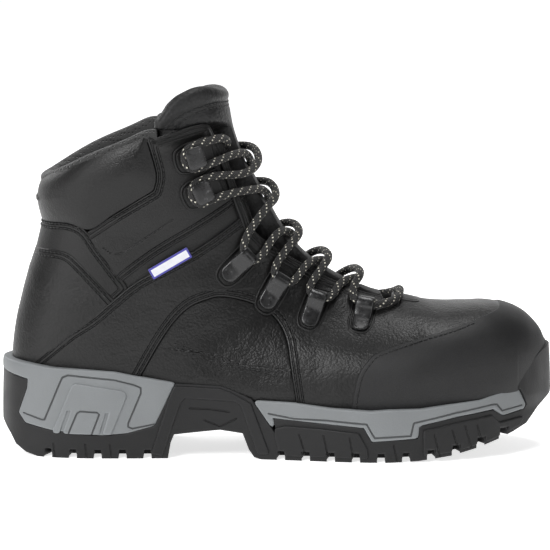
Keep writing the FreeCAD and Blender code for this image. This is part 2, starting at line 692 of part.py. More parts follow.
# Tread: cross grooves from both edges, and two long channels between the edge lugs and the middle.
HEEL_GROOVES = [-128.0, -114.0, -100.0, -86.0, -72.0]
FRONT_GROOVES = [3.0, 17.0, 31.0, 45.0, 59.0, 73.0, 87.0, 101.0, 115.0, 128.0]
GROOVE_REACH = 17.0
GROOVE_OUTSIDE = 8.0           # the groove cutters run this far past the edge
below = size("below_tread")


def tread_height(x):
    """Height of the tread face, which springs up towards the toe."""
    line = [(62.0, 0.0), (80.0, 0.9), (98.0, 3.2), (112.0, 6.4), (124.0, 10.0), (134.0, 13.4), (142.0, 17.0)]
    if x <= line[0][0]:
        return 0.0
    for (x0, z0), (x1, z1) in zip(line, line[1:]):
        if x <= x1:
            return z0 + (z1 - z0) * (x - x0) / (x1 - x0)
    return line[-1][1]


def half_width(x, side):
    """Half width of the sole outline at x on one side."""
    points = sorted(p for p in SOLE_OUTLINE if p[1] * side > 0 or p[0] < -150)
    for (x0, y0), (x1, y1) in zip(points, points[1:]):
        if x0 <= x <= x1:
            return abs(y0 + (y1 - y0) * (x - x0) / (x1 - x0))
    return 10.0


grooves = []


def groove(x, side, reach):
    box = doc.addObject("Part::Box", "groove_%d" % len(grooves))
    box.setExpression("Length", "dims.groove_width")
    box.setExpression("Height", "dims.groove_depth + dims.below_tread")
    box.Width = reach + GROOVE_OUTSIDE
    edge = half_width(x, side)
    low = tread_height(x) - below
    y = -edge - GROOVE_OUTSIDE if side < 0 else edge - reach
    box.Placement = Placement(Vector(x - size("groove_width") / 2, y, low), Rotation())
    grooves.append(box)


for x in HEEL_GROOVES + FRONT_GROOVES:
    for side in (-1, 1):
        groove(x, side, GROOVE_REACH)


def channel(label, start, end, y):
    """A long straight channel in the flat part of the tread."""
    box = doc.addObject("Part::Box", label)
    box.Length = end - start
    box.setExpression("Width", "dims.channel_width")
    box.setExpression("Height", "dims.groove_depth + dims.below_tread")
    box.Placement = Placement(Vector(start, y - size("channel_width") / 2, -below), Rotation())
    grooves.append(box)


for y in (-21.5, 18.5):
    channel("heel_channel_%d" % abs(int(y)), -122.0, -66.0, y)
for y in (-28.0, 25.0):
    channel("front_channel_%d" % abs(int(y)), 4.0, 92.0, y)
CROSS_WIDTH = 30.0             # the cross channels, and their outer edge
CROSS_EDGE = -16.0
for i, x in enumerate((-112.0, -96.0, -80.0, 10.0, 26.0, 42.0, 58.0, 74.0, 90.0)):
    box = doc.addObject("Part::Box", "cross_channel_%d" % i)
    box.setExpression("Length", "dims.channel_width")
    box.Width = CROSS_WIDTH
    box.setExpression("Height", "dims.groove_depth + dims.below_tread")
    box.Placement = Placement(Vector(x, CROSS_EDGE, tread_height(x) - below), Rotation())
    grooves.append(box)

all_grooves = doc.addObject("Part::MultiFuse", "all_grooves")
all_grooves.Shapes = grooves
tread_cut = cut("tread_cut", black_cup, all_grooves)
doc.recompute()
keep(feature("outsole", max(tread_cut.Shape.Solids, key=lambda solid: solid.Volume)))

# ---------------------------------------------------------------- tongue
# The tongue lies along the instep. Its middle fills the gap between the facings, and its wings lie
# deeper, under them, with room for the lace ends.

GAP_HALF = [31.0, 25.9, 23.2, 23.6, 20.6, 15.5, 13.4, 11.8, 12.1, 11.2]     # at whole stations
TONGUE_STATIONS = [8.9, 8.0, 7.0, 6.0, 5.0, 4.0, 3.0, 2.0, 1.0, 0.3, -0.25]
CROWN_HIGH = -0.5              # the middle's outer face, off the form, beside the shaft
CROWN_LOW = -3.4               # and over the foot, where the facings' inner edges come closer
WING_HIGH = -12.0              # the wings' outer face beside the shaft
WING_LOW = -9.0                # and over the foot
CROWN_HALF = 8.0               # sideways reach of the full crown
SLOPE_END = 14.0               # sideways place where the wing begins
TONGUE_WALL = 1.6
WING_THICK = 5.0
MIDDLE_BACK = -8.0             # the back face under the crown
MIDDLE_WIDE = 9.0
TONGUE_LINING = 1.4


def tongue_reach(u):
    """Sideways reach of the tongue's wings."""
    return 19.0 + (34.0 - 19.0) * min(max((9.6 - u) / 9.0, 0.0), 1.0)


def blend(high, low, u, start):
    """A value that goes from high to low over two stations."""
    share = min(max((u - start) / 2.0, 0.0), 1.0)
    return high + (low - high) * share


def wing(u):
    """The offset of the wings' outer face: shallower over the foot than in the shaft."""
    return blend(WING_HIGH, WING_LOW, u, 5.0)


def gap_half(u):
    """Half the gap between the facings at station u."""
    i = min(max(int(u), 0), len(GAP_HALF) - 2)
    return GAP_HALF[i] + (GAP_HALF[i + 1] - GAP_HALF[i]) * (u - i)


def outer_face(y, u):
    """The outer face's offset from the form at sideways place y."""
    half = min(CROWN_HALF, gap_half(u) - 5.0)
    end = min(SLOPE_END, gap_half(u) + 1.0)
    share = min(max((abs(y) - half) / (end - half), 0.0), 1.0)
    crown = blend(CROWN_HIGH, CROWN_LOW, u, 4.0)
    return crown + (wing(u) - crown) * 0.5 * (1 - math.cos(math.pi * share))


def back_face(y, u):
    """The back of the padding: thick at the wings, thinner under the crown."""
    deep = wing(u) - WING_THICK
    return deep + (MIDDLE_BACK - deep) * math.exp(-((y / MIDDLE_WIDE) ** 2))


def tongue_section(u, outer, inner):
    """A closed section between two offset rules, kept in the fan plane of station u."""
    reach = tongue_reach(u)
    steps = 12
    fx, fz, rx, rz = station(u)[:4]
    plane_normal = Vector(fz - rz, 0, rx - fx).normalize()

    def place(y, lift):
        point = skin(u, y, 0.0)[0]
        normal = skin(u, y, 0.0)[1]
        flat = normal - plane_normal * normal.dot(plane_normal)
        return point + flat.normalize() * lift

    ys = [-reach + 2 * reach * i / steps for i in range(steps + 1)]
    top = [place(y, outer(y, u)) for y in ys]
    low = [place(y, inner(y, u)) for y in reversed(ys)]
    edges = []
    for points in (top, low):
        curve = Part.BSplineCurve()
        curve.interpolate(Points=points)
        edges.append(curve.toShape())
    edges.insert(1, Part.LineSegment(top[-1], low[0]).toShape())
    edges.append(Part.LineSegment(low[-1], top[0]).toShape())
    return Part.Wire(edges)


def tongue_layer(label, outer, inner):
    wires = [tongue_section(u, outer, inner) for u in TONGUE_STATIONS]
    return keep(feature(label, Part.makeLoft(wires, True, False, False)))


tongue_layer("tongue_leather", outer_face, lambda y, u: outer_face(y, u) - TONGUE_WALL)
tongue_layer("tongue_padding", lambda y, u: outer_face(y, u) - TONGUE_WALL - gap, back_face)
tongue_layer("tongue_lining", lambda y, u: back_face(y, u) - gap,
             lambda y, u: back_face(y, u) - gap - TONGUE_LINING)

# ---------------------------------------------------------------- lace hardware

LOOP_ROWS = [(9.3, 27.0), (7.7, 27.5), (5.95, 28.5), (4.5, 31.0)]       # station, sideways place
HOOK_ROWS = [(2.18, 34.5), (1.28, 35.5)]
PLATE_LIFT = overlay_out + 0.4


def site(u, y, lift=PLATE_LIFT):
    """A frame on the skin: x along the facing, y towards the gap, z outward."""
    point, normal = skin(u, y, lift)
    lower, higher = station(u + 0.5), station(u - 0.5)
    facing = Vector(higher[0] - lower[0], 0, higher[1] - lower[1])
    across = (facing - normal * facing.dot(normal)).normalize()
    if y < 0:
        across = across * -1
    up = normal.cross(across)
    return Placement(FreeCAD.Matrix(
        across.x, up.x, normal.x, point.x,
        across.y, up.y, normal.y, point.y,
        across.z, up.z, normal.z, point.z,
    ))


LACE_HIGH = 3.7                # lace centre above the plate's underside, in loops and hooks
LOOP_CENTRE = 5.5              # lace centre ahead of the loop's middle
PLATE_REAR = -7.0              # rear end of the loop's plate
LOOP_RIVET_Y = -4.0
HOOK_NECK_Y = -5.0             # rear end of the neck, which the lace goes round


def lace_loop(label, placement):
    """A tab with a closed tunnel at its upper end."""
    body = doc.addObject("PartDesign::Body", label)
    body.Label = label
    plate_sketch = new_sketch(body, label + "_plate", "XY_Plane")
    rectangle(plate_sketch, -size("loop_width") / 2, PLATE_REAR, "loop_width", "loop_plate")
    pad(body, label + "_plate_pad", plate_sketch, "dims.metal")
    tunnel_sketch = new_sketch(body, label + "_tunnel", "YZ_Plane")
    rectangle(tunnel_sketch, LOOP_CENTRE - size("loop_height") / 2, 0.1, "loop_height", "loop_height")
    circle(tunnel_sketch, LOOP_CENTRE, LACE_HIGH, "loop_hole")
    pad(body, label + "_tunnel_pad", tunnel_sketch, "dims.loop_width", midplane=True)
    body.Placement = placement
    return keep(body)


def lace_hook(label, placement):
    """A riveted base plate, a neck and a top plate, open towards the heel."""
    body = doc.addObject("PartDesign::Body", label)
    body.Label = label
    half = size("hook_width") / 2
    low_sketch = new_sketch(body, label + "_base", "XY_Plane")
    rectangle(low_sketch, -half, -7.5, "hook_width", "hook_plate")
    pad(body, label + "_base_pad", low_sketch, "dims.metal")
    neck_sketch = new_sketch(body, label + "_neck", "XY_Plane")
    rectangle(neck_sketch, -size("hook_neck") / 2, HOOK_NECK_Y, "hook_neck", "hook_neck")
    pad(body, label + "_neck_pad", neck_sketch, "2 * dims.metal + dims.hook_gap")
    top_sketch = new_sketch(body, label + "_top", "XY_Plane")
    top_sketch.AttachmentOffset = Placement(Vector(0, 0, size("metal") + size("hook_gap")), Rotation())
    rectangle(top_sketch, -half, -7.5, "hook_width", "hook_plate")
    pad(body, label + "_top_pad", top_sketch, "dims.metal")
    body.Placement = placement
    return keep(body)


def rivet_shape(placement, y):
    """A low domed head on a short stem, set on the plate at y."""
    head = Part.makeSphere(size("rivet_head"), Vector(0, y, size("metal") - size("rivet_head") * 0.8))
    keep_above = Part.makeBox(20, 20, 10, Vector(-10, y - 10, size("metal") + 0.02))
    made = head.common(keep_above)
    made.Placement = placement.multiply(made.Placement)
    return made


for name, side in (("outer", -1), ("inner", 1)):
    rivets = []
    for number, (u, y) in enumerate(LOOP_ROWS, start=1):
        place = site(u, side * y)
        lace_loop("lace_loop_%s_%d" % (name, number), place)
        rivets.append(rivet_shape(place, LOOP_RIVET_Y))
    for number, (u, y) in enumerate(HOOK_ROWS, start=1):
        place = site(u, side * y)
        lace_hook("lace_hook_%s_%d" % (name, number), place)
    keep(feature("loop_rivets_" + name, Part.makeCompound(rivets)))

# Side label: a small woven tab lying along the lower edge of the outer ankle strap.
label_body = doc.addObject("PartDesign::Body", "side_label")
label_body.Label = "side_label"
label_sketch = new_sketch(label_body, "label_sketch", "XY_Plane")
rectangle(label_sketch, -size("label_length") / 2, -size("label_height") / 2, "label_length", "label_height")
pad(label_body, "label_pad", label_sketch, "dims.label_thickness")
LABEL_STATION = 3.93
LABEL_SIDE = -37.6
LABEL_RISE = math.radians(30)
label_point, label_normal = skin(LABEL_STATION, LABEL_SIDE, overlay_out + 0.4)
label_along = Vector(math.cos(LABEL_RISE), 0, math.sin(LABEL_RISE))
label_along = (label_along - label_normal * label_along.dot(label_normal)).normalize()
label_up = label_normal.cross(label_along)
label_body.Placement = Placement(FreeCAD.Matrix(
    label_along.x, label_up.x, label_normal.x, label_point.x,
    label_along.y, label_up.y, label_normal.y, label_point.y,
    label_along.z, label_up.z, label_normal.z, label_point.z,
))
keep(label_body)

# ---------------------------------------------------------------- lace
# One round lace. It starts in the shaft on the outer side, comes up beside the tongue to the upper
# hook, is laced down to the bar at the throat, and goes back up the same way on the inner side.
# Each crossing is a pair of strands, and the strand that climbs from the outer side passes over.

LACE_RADIUS = size("lace") / 2
CROSSINGS = [7.4, 5.75, 4.2, 2.85, 1.85]       # station of each crossing, from the throat upwards
OVER = 8.8                     # lift of the upper strand's centre over the form
UNDER = 3.5
EDGE_LIFT = 5.3                # lift where a strand passes over the edge of the facing
CROSS_HALF = 7.0               # sideways place of the points beside a crossing
CROSS_TILT = 0.18              # how far up or down the boot those points stand
EDGE_TILT = 0.3
EDGE_SHARE = 0.55              # sideways place of the facing's edge, as a share of the row's


def local(place, x, y, z):
    return place.multVec(Vector(x, y, z))


def through(row, side):
    """Route points at a loop or hook, going up the boot."""
    if row < len(LOOP_ROWS):
        u, y = LOOP_ROWS[row]
        place = site(u, side * y)
        points = [local(place, x, LOOP_CENTRE, LACE_HIGH) for x in (-6.5, 6.5)]
    else:
        u, y = HOOK_ROWS[row - len(LOOP_ROWS)]
        place = site(u, side * y)
        points = [local(place, x, z, LACE_HIGH) for x, z in
                  ((-6.4, 7.0), (-6.4, -8.0), (6.4, -8.0), (6.4, 7.0))]
    return points if points[0].z < points[-1].z else points[::-1]


def row_side(row):
    return LOOP_ROWS[row][1] if row < len(LOOP_ROWS) else HOOK_ROWS[row - len(LOOP_ROWS)][1]


def crossing(number, side):
    """Route points of a strand that climbs from row number on side to the next row opposite."""
    u = CROSSINGS[number]
    lift = OVER if side < 0 else UNDER
    return [
        skin(u + EDGE_TILT, side * EDGE_SHARE * row_side(number), EDGE_LIFT)[0],
        skin(u + CROSS_TILT, side * CROSS_HALF, lift)[0],
        skin(u - CROSS_TILT, -side * CROSS_HALF, lift)[0],
        skin(u - EDGE_TILT, -side * EDGE_SHARE * row_side(number + 1), EDGE_LIFT)[0],
    ]


def tail(side):
    """From deep in the shaft up to the upper hook."""
    route = [(4.9, 31.0, -8.9), (4.0, 32.0, -8.9), (3.1, 32.0, -8.9), (2.3, 30.5, -8.9), (1.6, 25.5, -9.0),
             (1.15, 20.5, -5.2), (0.95, 19.0, 1.5)]
    return [skin(u, side * y, lift)[0] for u, y, lift in route] + [skin(0.8, side * 25.0, EDGE_LIFT)[0]]


def climb(side):
    """The strand that leaves the throat bar on one side, up to its tail."""
    points = []
    for row in range(len(LOOP_ROWS) + len(HOOK_ROWS)):
        points += through(row, side)
        if row < len(CROSSINGS):
            points += crossing(row, side)
            side = -side
    return points + tail(side)[::-1]


THROAT_BAR = [(9.9, 17.0, 4.8), (9.75, 6.0, 4.8)]
bar = [skin(u, -y, lift)[0] for u, y, lift in THROAT_BAR]
bar += [skin(u, y, lift)[0] for u, y, lift in reversed(THROAT_BAR)]
route = climb(-1)[::-1] + bar + climb(1)


def tube(points, radius):
    """A round tube on straight runs joined by tangent arcs, and the path's facts."""
    corners = []
    for before, point, after in zip(points, points[1:], points[2:]):
        arrive = (point - before).normalize()
        leave = (after - point).normalize()
        turn = arrive.getAngle(leave)
        shorter = min((point - before).Length, (after - point).Length)
        reach = 0.45 * shorter
        bend = reach / math.tan(turn / 2)
        inward = (leave - arrive).normalize()
        middle = point + inward * (math.hypot(bend, reach) - bend)
        corners.append((point - arrive * reach, middle, point + leave * reach, bend, turn))
    edges = []
    last = points[0]
    for start, middle, end, bend, turn in corners:
        edges.append(Part.LineSegment(last, start).toShape())
        edges.append(Part.Arc(start, middle, end).toShape())
        last = end
    edges.append(Part.LineSegment(last, points[-1]).toShape())
    path = Part.Wire(edges)
    direction = (points[1] - points[0]).normalize()
    ring_wire = Part.Wire([Part.makeCircle(radius, points[0], direction)])
    made = path.makePipeShell([ring_wire], True, False)
    ideal = math.pi * radius * radius * path.Length
    return made, path, corners, made.Volume / ideal


lace_tube, lace_path, lace_corners, lace_ratio = tube(route, LACE_RADIUS)
keep(feature("lace", lace_tube))
print("lace: length %.0f, volume ratio %.4f, points %d" % (lace_path.Length, lace_ratio, len(route)))
for i, (start, middle, end, bend, turn) in enumerate(lace_corners, start=1):
    run = (route[i] - route[i - 1]).Length
    print("  point %2d radius %5.1f turn %4.0f run %5.1f" % (i, bend, math.degrees(turn), run))

for name, tip, inner in (("outer", route[0], route[1]), ("inner", route[-1], route[-2])):
    outward = (tip - inner).normalize()
    keep(feature("aglet_" + name, Part.makeCylinder(LACE_RADIUS * 0.9, size("aglet_length"), tip, outward)))

doc.recompute()

# ---------------------------------------------------------------- checks and export

os.makedirs("parts", exist_ok=True)
bad = [item.Label for item in doc.Objects if "Invalid" in item.State or "Error" in item.State]
if bad:
    raise RuntimeError("objects in error: " + ", ".join(bad))
for node in exported:
    shape = node.Shape
    if shape.isNull() or not shape.isValid():
        raise RuntimeError("bad shape: " + node.Label)
    print("%-24s solids %d volume %.0f" % (node.Label, len(shape.Solids), shape.Volume))
    shape.exportStep("parts/%s.step" % node.Label)
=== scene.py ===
import math

import bpy
import numpy as np
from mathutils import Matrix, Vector


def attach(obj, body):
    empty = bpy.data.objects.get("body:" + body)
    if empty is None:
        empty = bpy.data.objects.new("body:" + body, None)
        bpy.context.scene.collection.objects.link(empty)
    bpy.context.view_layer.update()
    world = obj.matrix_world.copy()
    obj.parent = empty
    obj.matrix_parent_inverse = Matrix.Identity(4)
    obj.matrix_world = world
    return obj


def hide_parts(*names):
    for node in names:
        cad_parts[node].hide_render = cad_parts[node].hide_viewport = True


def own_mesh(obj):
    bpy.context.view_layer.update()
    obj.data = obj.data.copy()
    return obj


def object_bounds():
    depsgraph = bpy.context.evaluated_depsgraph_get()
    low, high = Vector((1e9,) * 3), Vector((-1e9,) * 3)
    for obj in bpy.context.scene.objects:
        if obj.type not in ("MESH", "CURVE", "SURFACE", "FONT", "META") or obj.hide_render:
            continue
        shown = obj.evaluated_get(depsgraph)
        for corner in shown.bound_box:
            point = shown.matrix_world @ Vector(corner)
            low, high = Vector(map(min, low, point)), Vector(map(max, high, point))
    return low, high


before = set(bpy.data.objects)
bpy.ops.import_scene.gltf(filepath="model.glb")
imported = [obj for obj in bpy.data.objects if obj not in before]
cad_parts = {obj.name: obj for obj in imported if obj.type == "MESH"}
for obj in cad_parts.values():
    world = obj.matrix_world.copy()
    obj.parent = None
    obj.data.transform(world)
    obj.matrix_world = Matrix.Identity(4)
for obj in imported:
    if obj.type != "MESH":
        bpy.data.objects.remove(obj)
cad_low, cad_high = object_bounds()[:2]

MM = 0.001                     # tables below are in millimetres; every mesh is made in metres
OUTER = -1                     # the boot's outer side is -Y
INNER = 1

# ---------------------------------------------------------------- camera

CAMERA_ELEVATION = math.radians(7.5)
CAMERA_DISTANCE = 2.6
AIM_HEIGHT = 0.0985
FRAMED_WIDTH = 0.3125          # metres across the picture, through the point aimed at
SENSOR_WIDTH = 36.0
aim = Vector(((cad_low[0] + cad_high[0]) / 2, 0.0, AIM_HEIGHT))
lens = bpy.data.cameras.new("camera")
lens.sensor_width = SENSOR_WIDTH
lens.lens = SENSOR_WIDTH * CAMERA_DISTANCE / FRAMED_WIDTH
camera = bpy.data.objects.new("camera", lens)
camera.location = aim + Vector((0, -math.cos(CAMERA_ELEVATION), math.sin(CAMERA_ELEVATION))) * CAMERA_DISTANCE
camera.rotation_euler = (aim - camera.location).to_track_quat("-Z", "Y").to_euler()
bpy.context.scene.collection.objects.link(camera)
bpy.context.scene.camera = camera

# ---------------------------------------------------------------- the boot's form
# A fan of closed sections from the top of the shaft (station 0) round the instep to the toe. Columns:
# front x, z, rear x, z, outer half, inner half, shift, widest, front roundness, rear roundness.

STATIONS = np.array([
    (-28.5, 203.0, -127.0, 170.0, 43.0, 43.0, 0.0, 0.50, 2.1, 2.1),
    (-24.0, 183.0, -131.0, 151.0, 42.5, 42.5, 0.0, 0.50, 2.1, 2.1),
    (-16.0, 161.0, -131.5, 133.0, 40.5, 40.5, 0.0, 0.50, 2.1, 2.1),
    (-5.5, 141.0, -135.5, 114.0, 38.5, 38.5, 0.0, 0.50, 2.1, 2.2),
    (5.0, 123.5, -142.0, 90.0, 38.0, 37.5, 0.0, 0.52, 2.1, 2.3),
    (17.0, 111.0, -147.0, 66.0, 38.5, 37.5, 0.0, 0.54, 2.1, 2.4),
    (29.0, 103.0, -147.0, 46.0, 38.5, 37.0, 0.0, 0.56, 2.1, 2.5),
    (41.0, 96.5, -136.0, 32.0, 38.5, 36.5, 0.0, 0.60, 2.1, 2.7),
    (52.0, 92.0, -105.0, 29.5, 39.0, 36.5, 0.0, 0.62, 2.1, 3.0),
    (62.0, 88.3, -62.0, 26.0, 41.5, 38.5, 0.0, 0.62, 2.0, 3.2),
    (73.0, 85.3, -18.0, 21.5, 45.5, 42.5, 0.0, 0.62, 2.0, 3.3),
    (84.0, 83.0, 25.0, 17.0, 49.5, 47.0, 0.0, 0.60, 2.1, 3.4),
    (95.0, 81.8, 62.0, 15.5, 51.5, 49.5, 0.5, 0.58, 2.2, 3.4),
    (106.0, 81.8, 90.0, 16.5, 49.5, 49.0, 1.5, 0.56, 2.3, 3.3),
    (118.0, 82.0, 112.0, 19.0, 45.0, 46.5, 2.5, 0.55, 2.3, 3.1),
    (129.0, 80.0, 128.0, 23.0, 37.5, 40.5, 3.5, 0.54, 2.3, 2.9),
    (139.0, 75.5, 139.5, 28.0, 27.5, 30.5, 4.5, 0.53, 2.3, 2.7),
    (146.5, 68.0, 147.0, 34.5, 17.0, 19.0, 5.0, 0.52, 2.2, 2.5),
    (151.0, 60.0, 151.3, 41.5, 8.0, 8.5, 5.0, 0.50, 2.1, 2.2),
])
LAST = len(STATIONS) - 1
TIP_REACH = 1.5                # the toe's tip closes over this length


def stations(u):
    """The sections' numbers at real-valued stations, as the last axis."""
    u = np.asarray(u, float)
    inside = np.minimum(u, LAST)
    i = np.clip(np.floor(inside).astype(int), 0, LAST - 1)
    f = (inside - i)[..., None]
    a, b, c, d = (STATIONS[np.clip(i + k, 0, LAST)] for k in (-1, 0, 1, 2))
    curve = b + 0.5 * f * (c - a + f * (2 * a - 5 * b + 4 * c - d + f * (3 * (b - c) + d - a)))
    rows = np.where((f < 0) | (f > 1), b + (c - b) * f, curve)
    over = np.clip(u - LAST, 0, 1)[..., None]
    shrink = np.sqrt(1 - over ** 2)
    middle = (rows[..., 0:2] + rows[..., 2:4]) / 2
    rows[..., 0:2] = middle + (rows[..., 0:2] - middle) * shrink
    rows[..., 2:4] = middle + (rows[..., 2:4] - middle) * shrink
    rows[..., [0, 2]] += TIP_REACH * over
    rows[..., 4:6] *= shrink
    return rows


def form_points(u, phi):
    """Points of the form, in millimetres. phi runs from 0 at the front; its sign is the side."""
    fx, fz, rx, rz, outer, inner, shift, widest, front, rear = np.moveaxis(stations(u), -1, 0)
    angle = np.abs(phi)
    ahead = angle < math.pi / 2
    power = 2.0 / np.where(ahead, front, rear)
    depth = np.abs(np.cos(angle)) ** power
    along = np.where(ahead, widest * (1 - depth), widest + (1 - widest) * depth)
    half = np.where(phi < 0, outer, inner) * np.maximum(np.sin(angle), 0.0) ** power
    return np.stack([fx + (rx - fx) * along, shift + np.sign(phi) * half, fz + (rz - fz) * along], -1)


def unit(v):
    return v / np.maximum(np.linalg.norm(v, axis=-1, keepdims=True), 1e-9)


def reach_along(points):
    """How far along a line of points each of them lies."""
    return np.concatenate([[0], np.cumsum(np.linalg.norm(np.diff(points, axis=0), axis=1))])


def at_reach(at, reach, values):
    """What a line's values are at other distances along it."""
    return np.stack([np.interp(at, reach, column) for column in values.T], -1)


def grid_numbers(rows, columns, cyclic=False):
    """The point numbers of a grid, and the four numbers of each of its faces."""
    index = np.arange(rows * columns).reshape(rows, columns)
    left, right = (index, np.roll(index, -1, axis=1)) if cyclic else (index[:, :-1], index[:, 1:])
    return index, np.stack([left[:-1], right[:-1], right[1:], left[1:]], -1).reshape(-1, 4)


def form_normals(u, phi):
    step = 0.01
    turn = np.where(phi < 0, -step, step)
    around = form_points(u, phi + turn) - form_points(u, phi)
    along = form_points(u + 0.05, phi) - form_points(u, phi)
    normal = np.cross(along, around)
    return unit(np.where((phi < 0)[..., None], -normal, normal))


def skin(u, y, lift=0.0):
    """Points at station u and sideways place y, lifted off the form, and the normals there."""
    u, y = np.broadcast_arrays(np.asarray(u, float), np.asarray(y, float))
    rows = stations(u)
    half = np.where(y < 0, rows[..., 4], rows[..., 5])
    share = np.minimum(np.abs(y - rows[..., 6]) / half, 1.0)
    phi = np.where(y < 0, -1, 1) * np.arcsin(share ** (rows[..., 8] / 2))
    normal = form_normals(u, phi)
    return form_points(u, phi) + normal * np.asarray(lift, float)[..., None], normal


FAN = np.linspace(-0.6, LAST + 0.999, 900)
FAN_ROWS = stations(FAN)


def side_point(x, z, side, lift=0.0):
    """Points of the form seen at (x, z) from one side, lifted off it, and the normals there."""
    x, z = np.asarray(x, float).ravel(), np.asarray(z, float).ravel()
    fx, fz, rx, rz = (FAN_ROWS[:, k] for k in range(4))
    turn = (x[:, None] - fx) * (rz - fz) - (z[:, None] - fz) * (rx - fx)
    crossing = (turn[:, :-1] * turn[:, 1:]) <= 0
    first = np.argmax(crossing, axis=1)
    row = np.arange(len(x))
    a, b = turn[row, first], turn[row, first + 1]
    u = FAN[first] + (FAN[1] - FAN[0]) * a / np.where(np.abs(a - b) < 1e-12, 1, a - b)
    rows = stations(u)
    run = rows[:, 2:4] - rows[:, 0:2]
    t = ((x - rows[:, 0]) * run[:, 0] + (z - rows[:, 1]) * run[:, 1]) / (run ** 2).sum(1)
    t = np.clip(t, 0.0, 1.0)
    widest = rows[:, 7]
    ahead = t < widest
    depth = np.where(ahead, 1 - t / widest, (t - widest) / (1 - widest))
    power = 2.0 / np.where(ahead, rows[:, 8], rows[:, 9])
    cosine = np.clip(depth, 0, 1) ** (1 / power)
    angle = np.where(ahead, np.arccos(cosine), math.pi - np.arccos(cosine))
    phi = side * np.maximum(angle, 1e-4)
    normal = form_normals(u, phi)
    return form_points(u, phi) + normal * lift, normal


# ---------------------------------------------------------------- surfaces and panels


class Surface:
    """A grid of points with outward normals. Its second direction closes on itself."""

    def __init__(self, points):
        self.points = points
        along = np.gradient(points, axis=0)
        around = np.roll(points, -1, axis=1) - np.roll(points, 1, axis=1)
        self.normals = unit(np.cross(around, along))
        middle = points.mean(axis=1, keepdims=True)
        facing_out = ((points - middle) * self.normals).sum(-1).mean() > 0
        if not facing_out:
            self.normals = -self.normals
        faces = grid_numbers(*points.shape[:2], cyclic=True)[1]
        self.triangles = np.concatenate([faces[:, [0, 1, 2]], faces[:, [0, 2, 3]]])
        if not facing_out:
            self.triangles = self.triangles[:, ::-1]
        self.cell = np.median(np.linalg.norm(np.diff(points, axis=0), axis=-1))


def form_surface(start, end, row_step, half_columns):
    """The form as a grid with columns evenly spaced round each section."""
    us = np.arange(start, end, row_step)
    fine = np.linspace(0, math.pi, 500)
    columns = []
    for side in (OUTER, INNER):
        dense = form_points(us[:, None], side * np.maximum(fine, 1e-5)[None, :])
        reach = np.concatenate([
            np.zeros((len(us), 1)), np.cumsum(np.linalg.norm(np.diff(dense, axis=1), axis=-1), axis=1),
        ], axis=1)
        share = np.linspace(0, 1, half_columns + 1)
        angles = np.stack([np.interp(share * r[-1], r, fine) for r in reach])
        columns.append(side * np.maximum(angles, 1e-5))
    phi = np.concatenate([columns[0], columns[1][:, -2:0:-1]], axis=1)
    return Surface(form_points(us[:, None], phi))


def spline(points, steps=8, closed=False):
    """A smooth line through given points."""
    p = np.array(points, float)
    if len(p) == 2:
        return p
    if closed:
        p = np.concatenate([p[-1:], p, p[:2]])
    else:
        p = np.concatenate([2 * p[:1] - p[1:2], p, 2 * p[-1:] - p[-2:-1]])
    t = np.linspace(0, 1, steps, endpoint=False)[:, None]
    out = []
    for a, b, c, d in zip(p, p[1:], p[2:], p[3:]):
        out.append(b + 0.5 * t * (c - a + t * (2 * a - 5 * b + 4 * c - d + t * (3 * (b - c) + d - a))))
    if not closed:
        out.append(p[-2:-1])
    return np.concatenate(out)


def outline(*runs):
    """A closed outline. Each run is one corner, or a smooth line that ends where the next run starts."""
    return np.concatenate([[run] if np.ndim(run) == 1 else spline(run)[:-1] for run in runs])


def distances(xz, line, closed=True):
    """Distance from points to a line in the side view, and the direction of fastest increase."""
    a = line
    b = np.roll(line, -1, axis=0) if closed else line[1:]
    a = a if closed else line[:-1]
    best = np.full(len(xz), 1e9)
    away = np.zeros((len(xz), 2))
    for p, q in zip(a, b):
        run = q - p
        t = np.clip(((xz - p) @ run) / max(run @ run, 1e-12), 0, 1)
        gap = xz - p - t[:, None] * run
        d = np.linalg.norm(gap, axis=1)
        near = d < best
        best[near] = d[near]
        away[near] = gap[near]
    return best, away / np.maximum(best, 1e-9)[:, None]


def inside(xz, line):
    crossings = np.zeros(len(xz), bool)
    x, z = xz.T
    for (ax, az), (bx, bz) in zip(line, np.roll(line, -1, axis=0)):
        if az == bz:
            continue
        hit = ((az > z) != (bz > z)) & (x < (bx - ax) * (z - az) / (bz - az) + ax)
        crossings ^= hit
    return crossings


def field(surface, region, side=0):
    """Distance inside a region, measured on the surface; negative outside. Also its gradient.

    A region is one outline, or a dict with "join" outlines and "less" outlines.
    """
    if isinstance(region, dict):
        value, gradient = field(surface, region["join"][0], side)
        for line in region["join"][1:]:
            other, slope = field(surface, line, side)
            better = other > value
            value[better] = other[better]
            gradient[better] = slope[better]
        for line in region.get("less", ()):
            other, slope = field(surface, line, side)
            worse = -other < value
            value[worse] = -other[worse]
            gradient[worse] = -slope[worse]
        return value, gradient
    line = region
    points = surface.points.reshape(-1, 3)
    normals = surface.normals.reshape(-1, 3)
    xz = points[:, [0, 2]]
    value = np.full(len(points), -60.0)
    gradient = np.zeros((len(points), 3))
    low, high = line.min(0) - 4, line.max(0) + 4
    near = ((xz > low) & (xz < high)).all(1)
    if side:
        near &= points[:, 1] * side > -0.6
    d, away = distances(xz[near], line)
    sign = np.where(inside(xz[near], line), 1.0, -1.0)
    flat = np.stack([away[:, 0], np.zeros(len(away)), away[:, 1]], -1) * sign[:, None]
    n = normals[near]
    tangent = flat - n * (flat * n).sum(1)[:, None]
    scale = np.maximum(np.linalg.norm(tangent, axis=1), 0.25)
    value[near] = sign * d / scale
    gradient[near] = unit(tangent)
    if side:
        edge = points[:, 1] * side
        cut = edge < 0.0
        value[cut] = np.minimum(value[cut], -1.0)
    return value, gradient


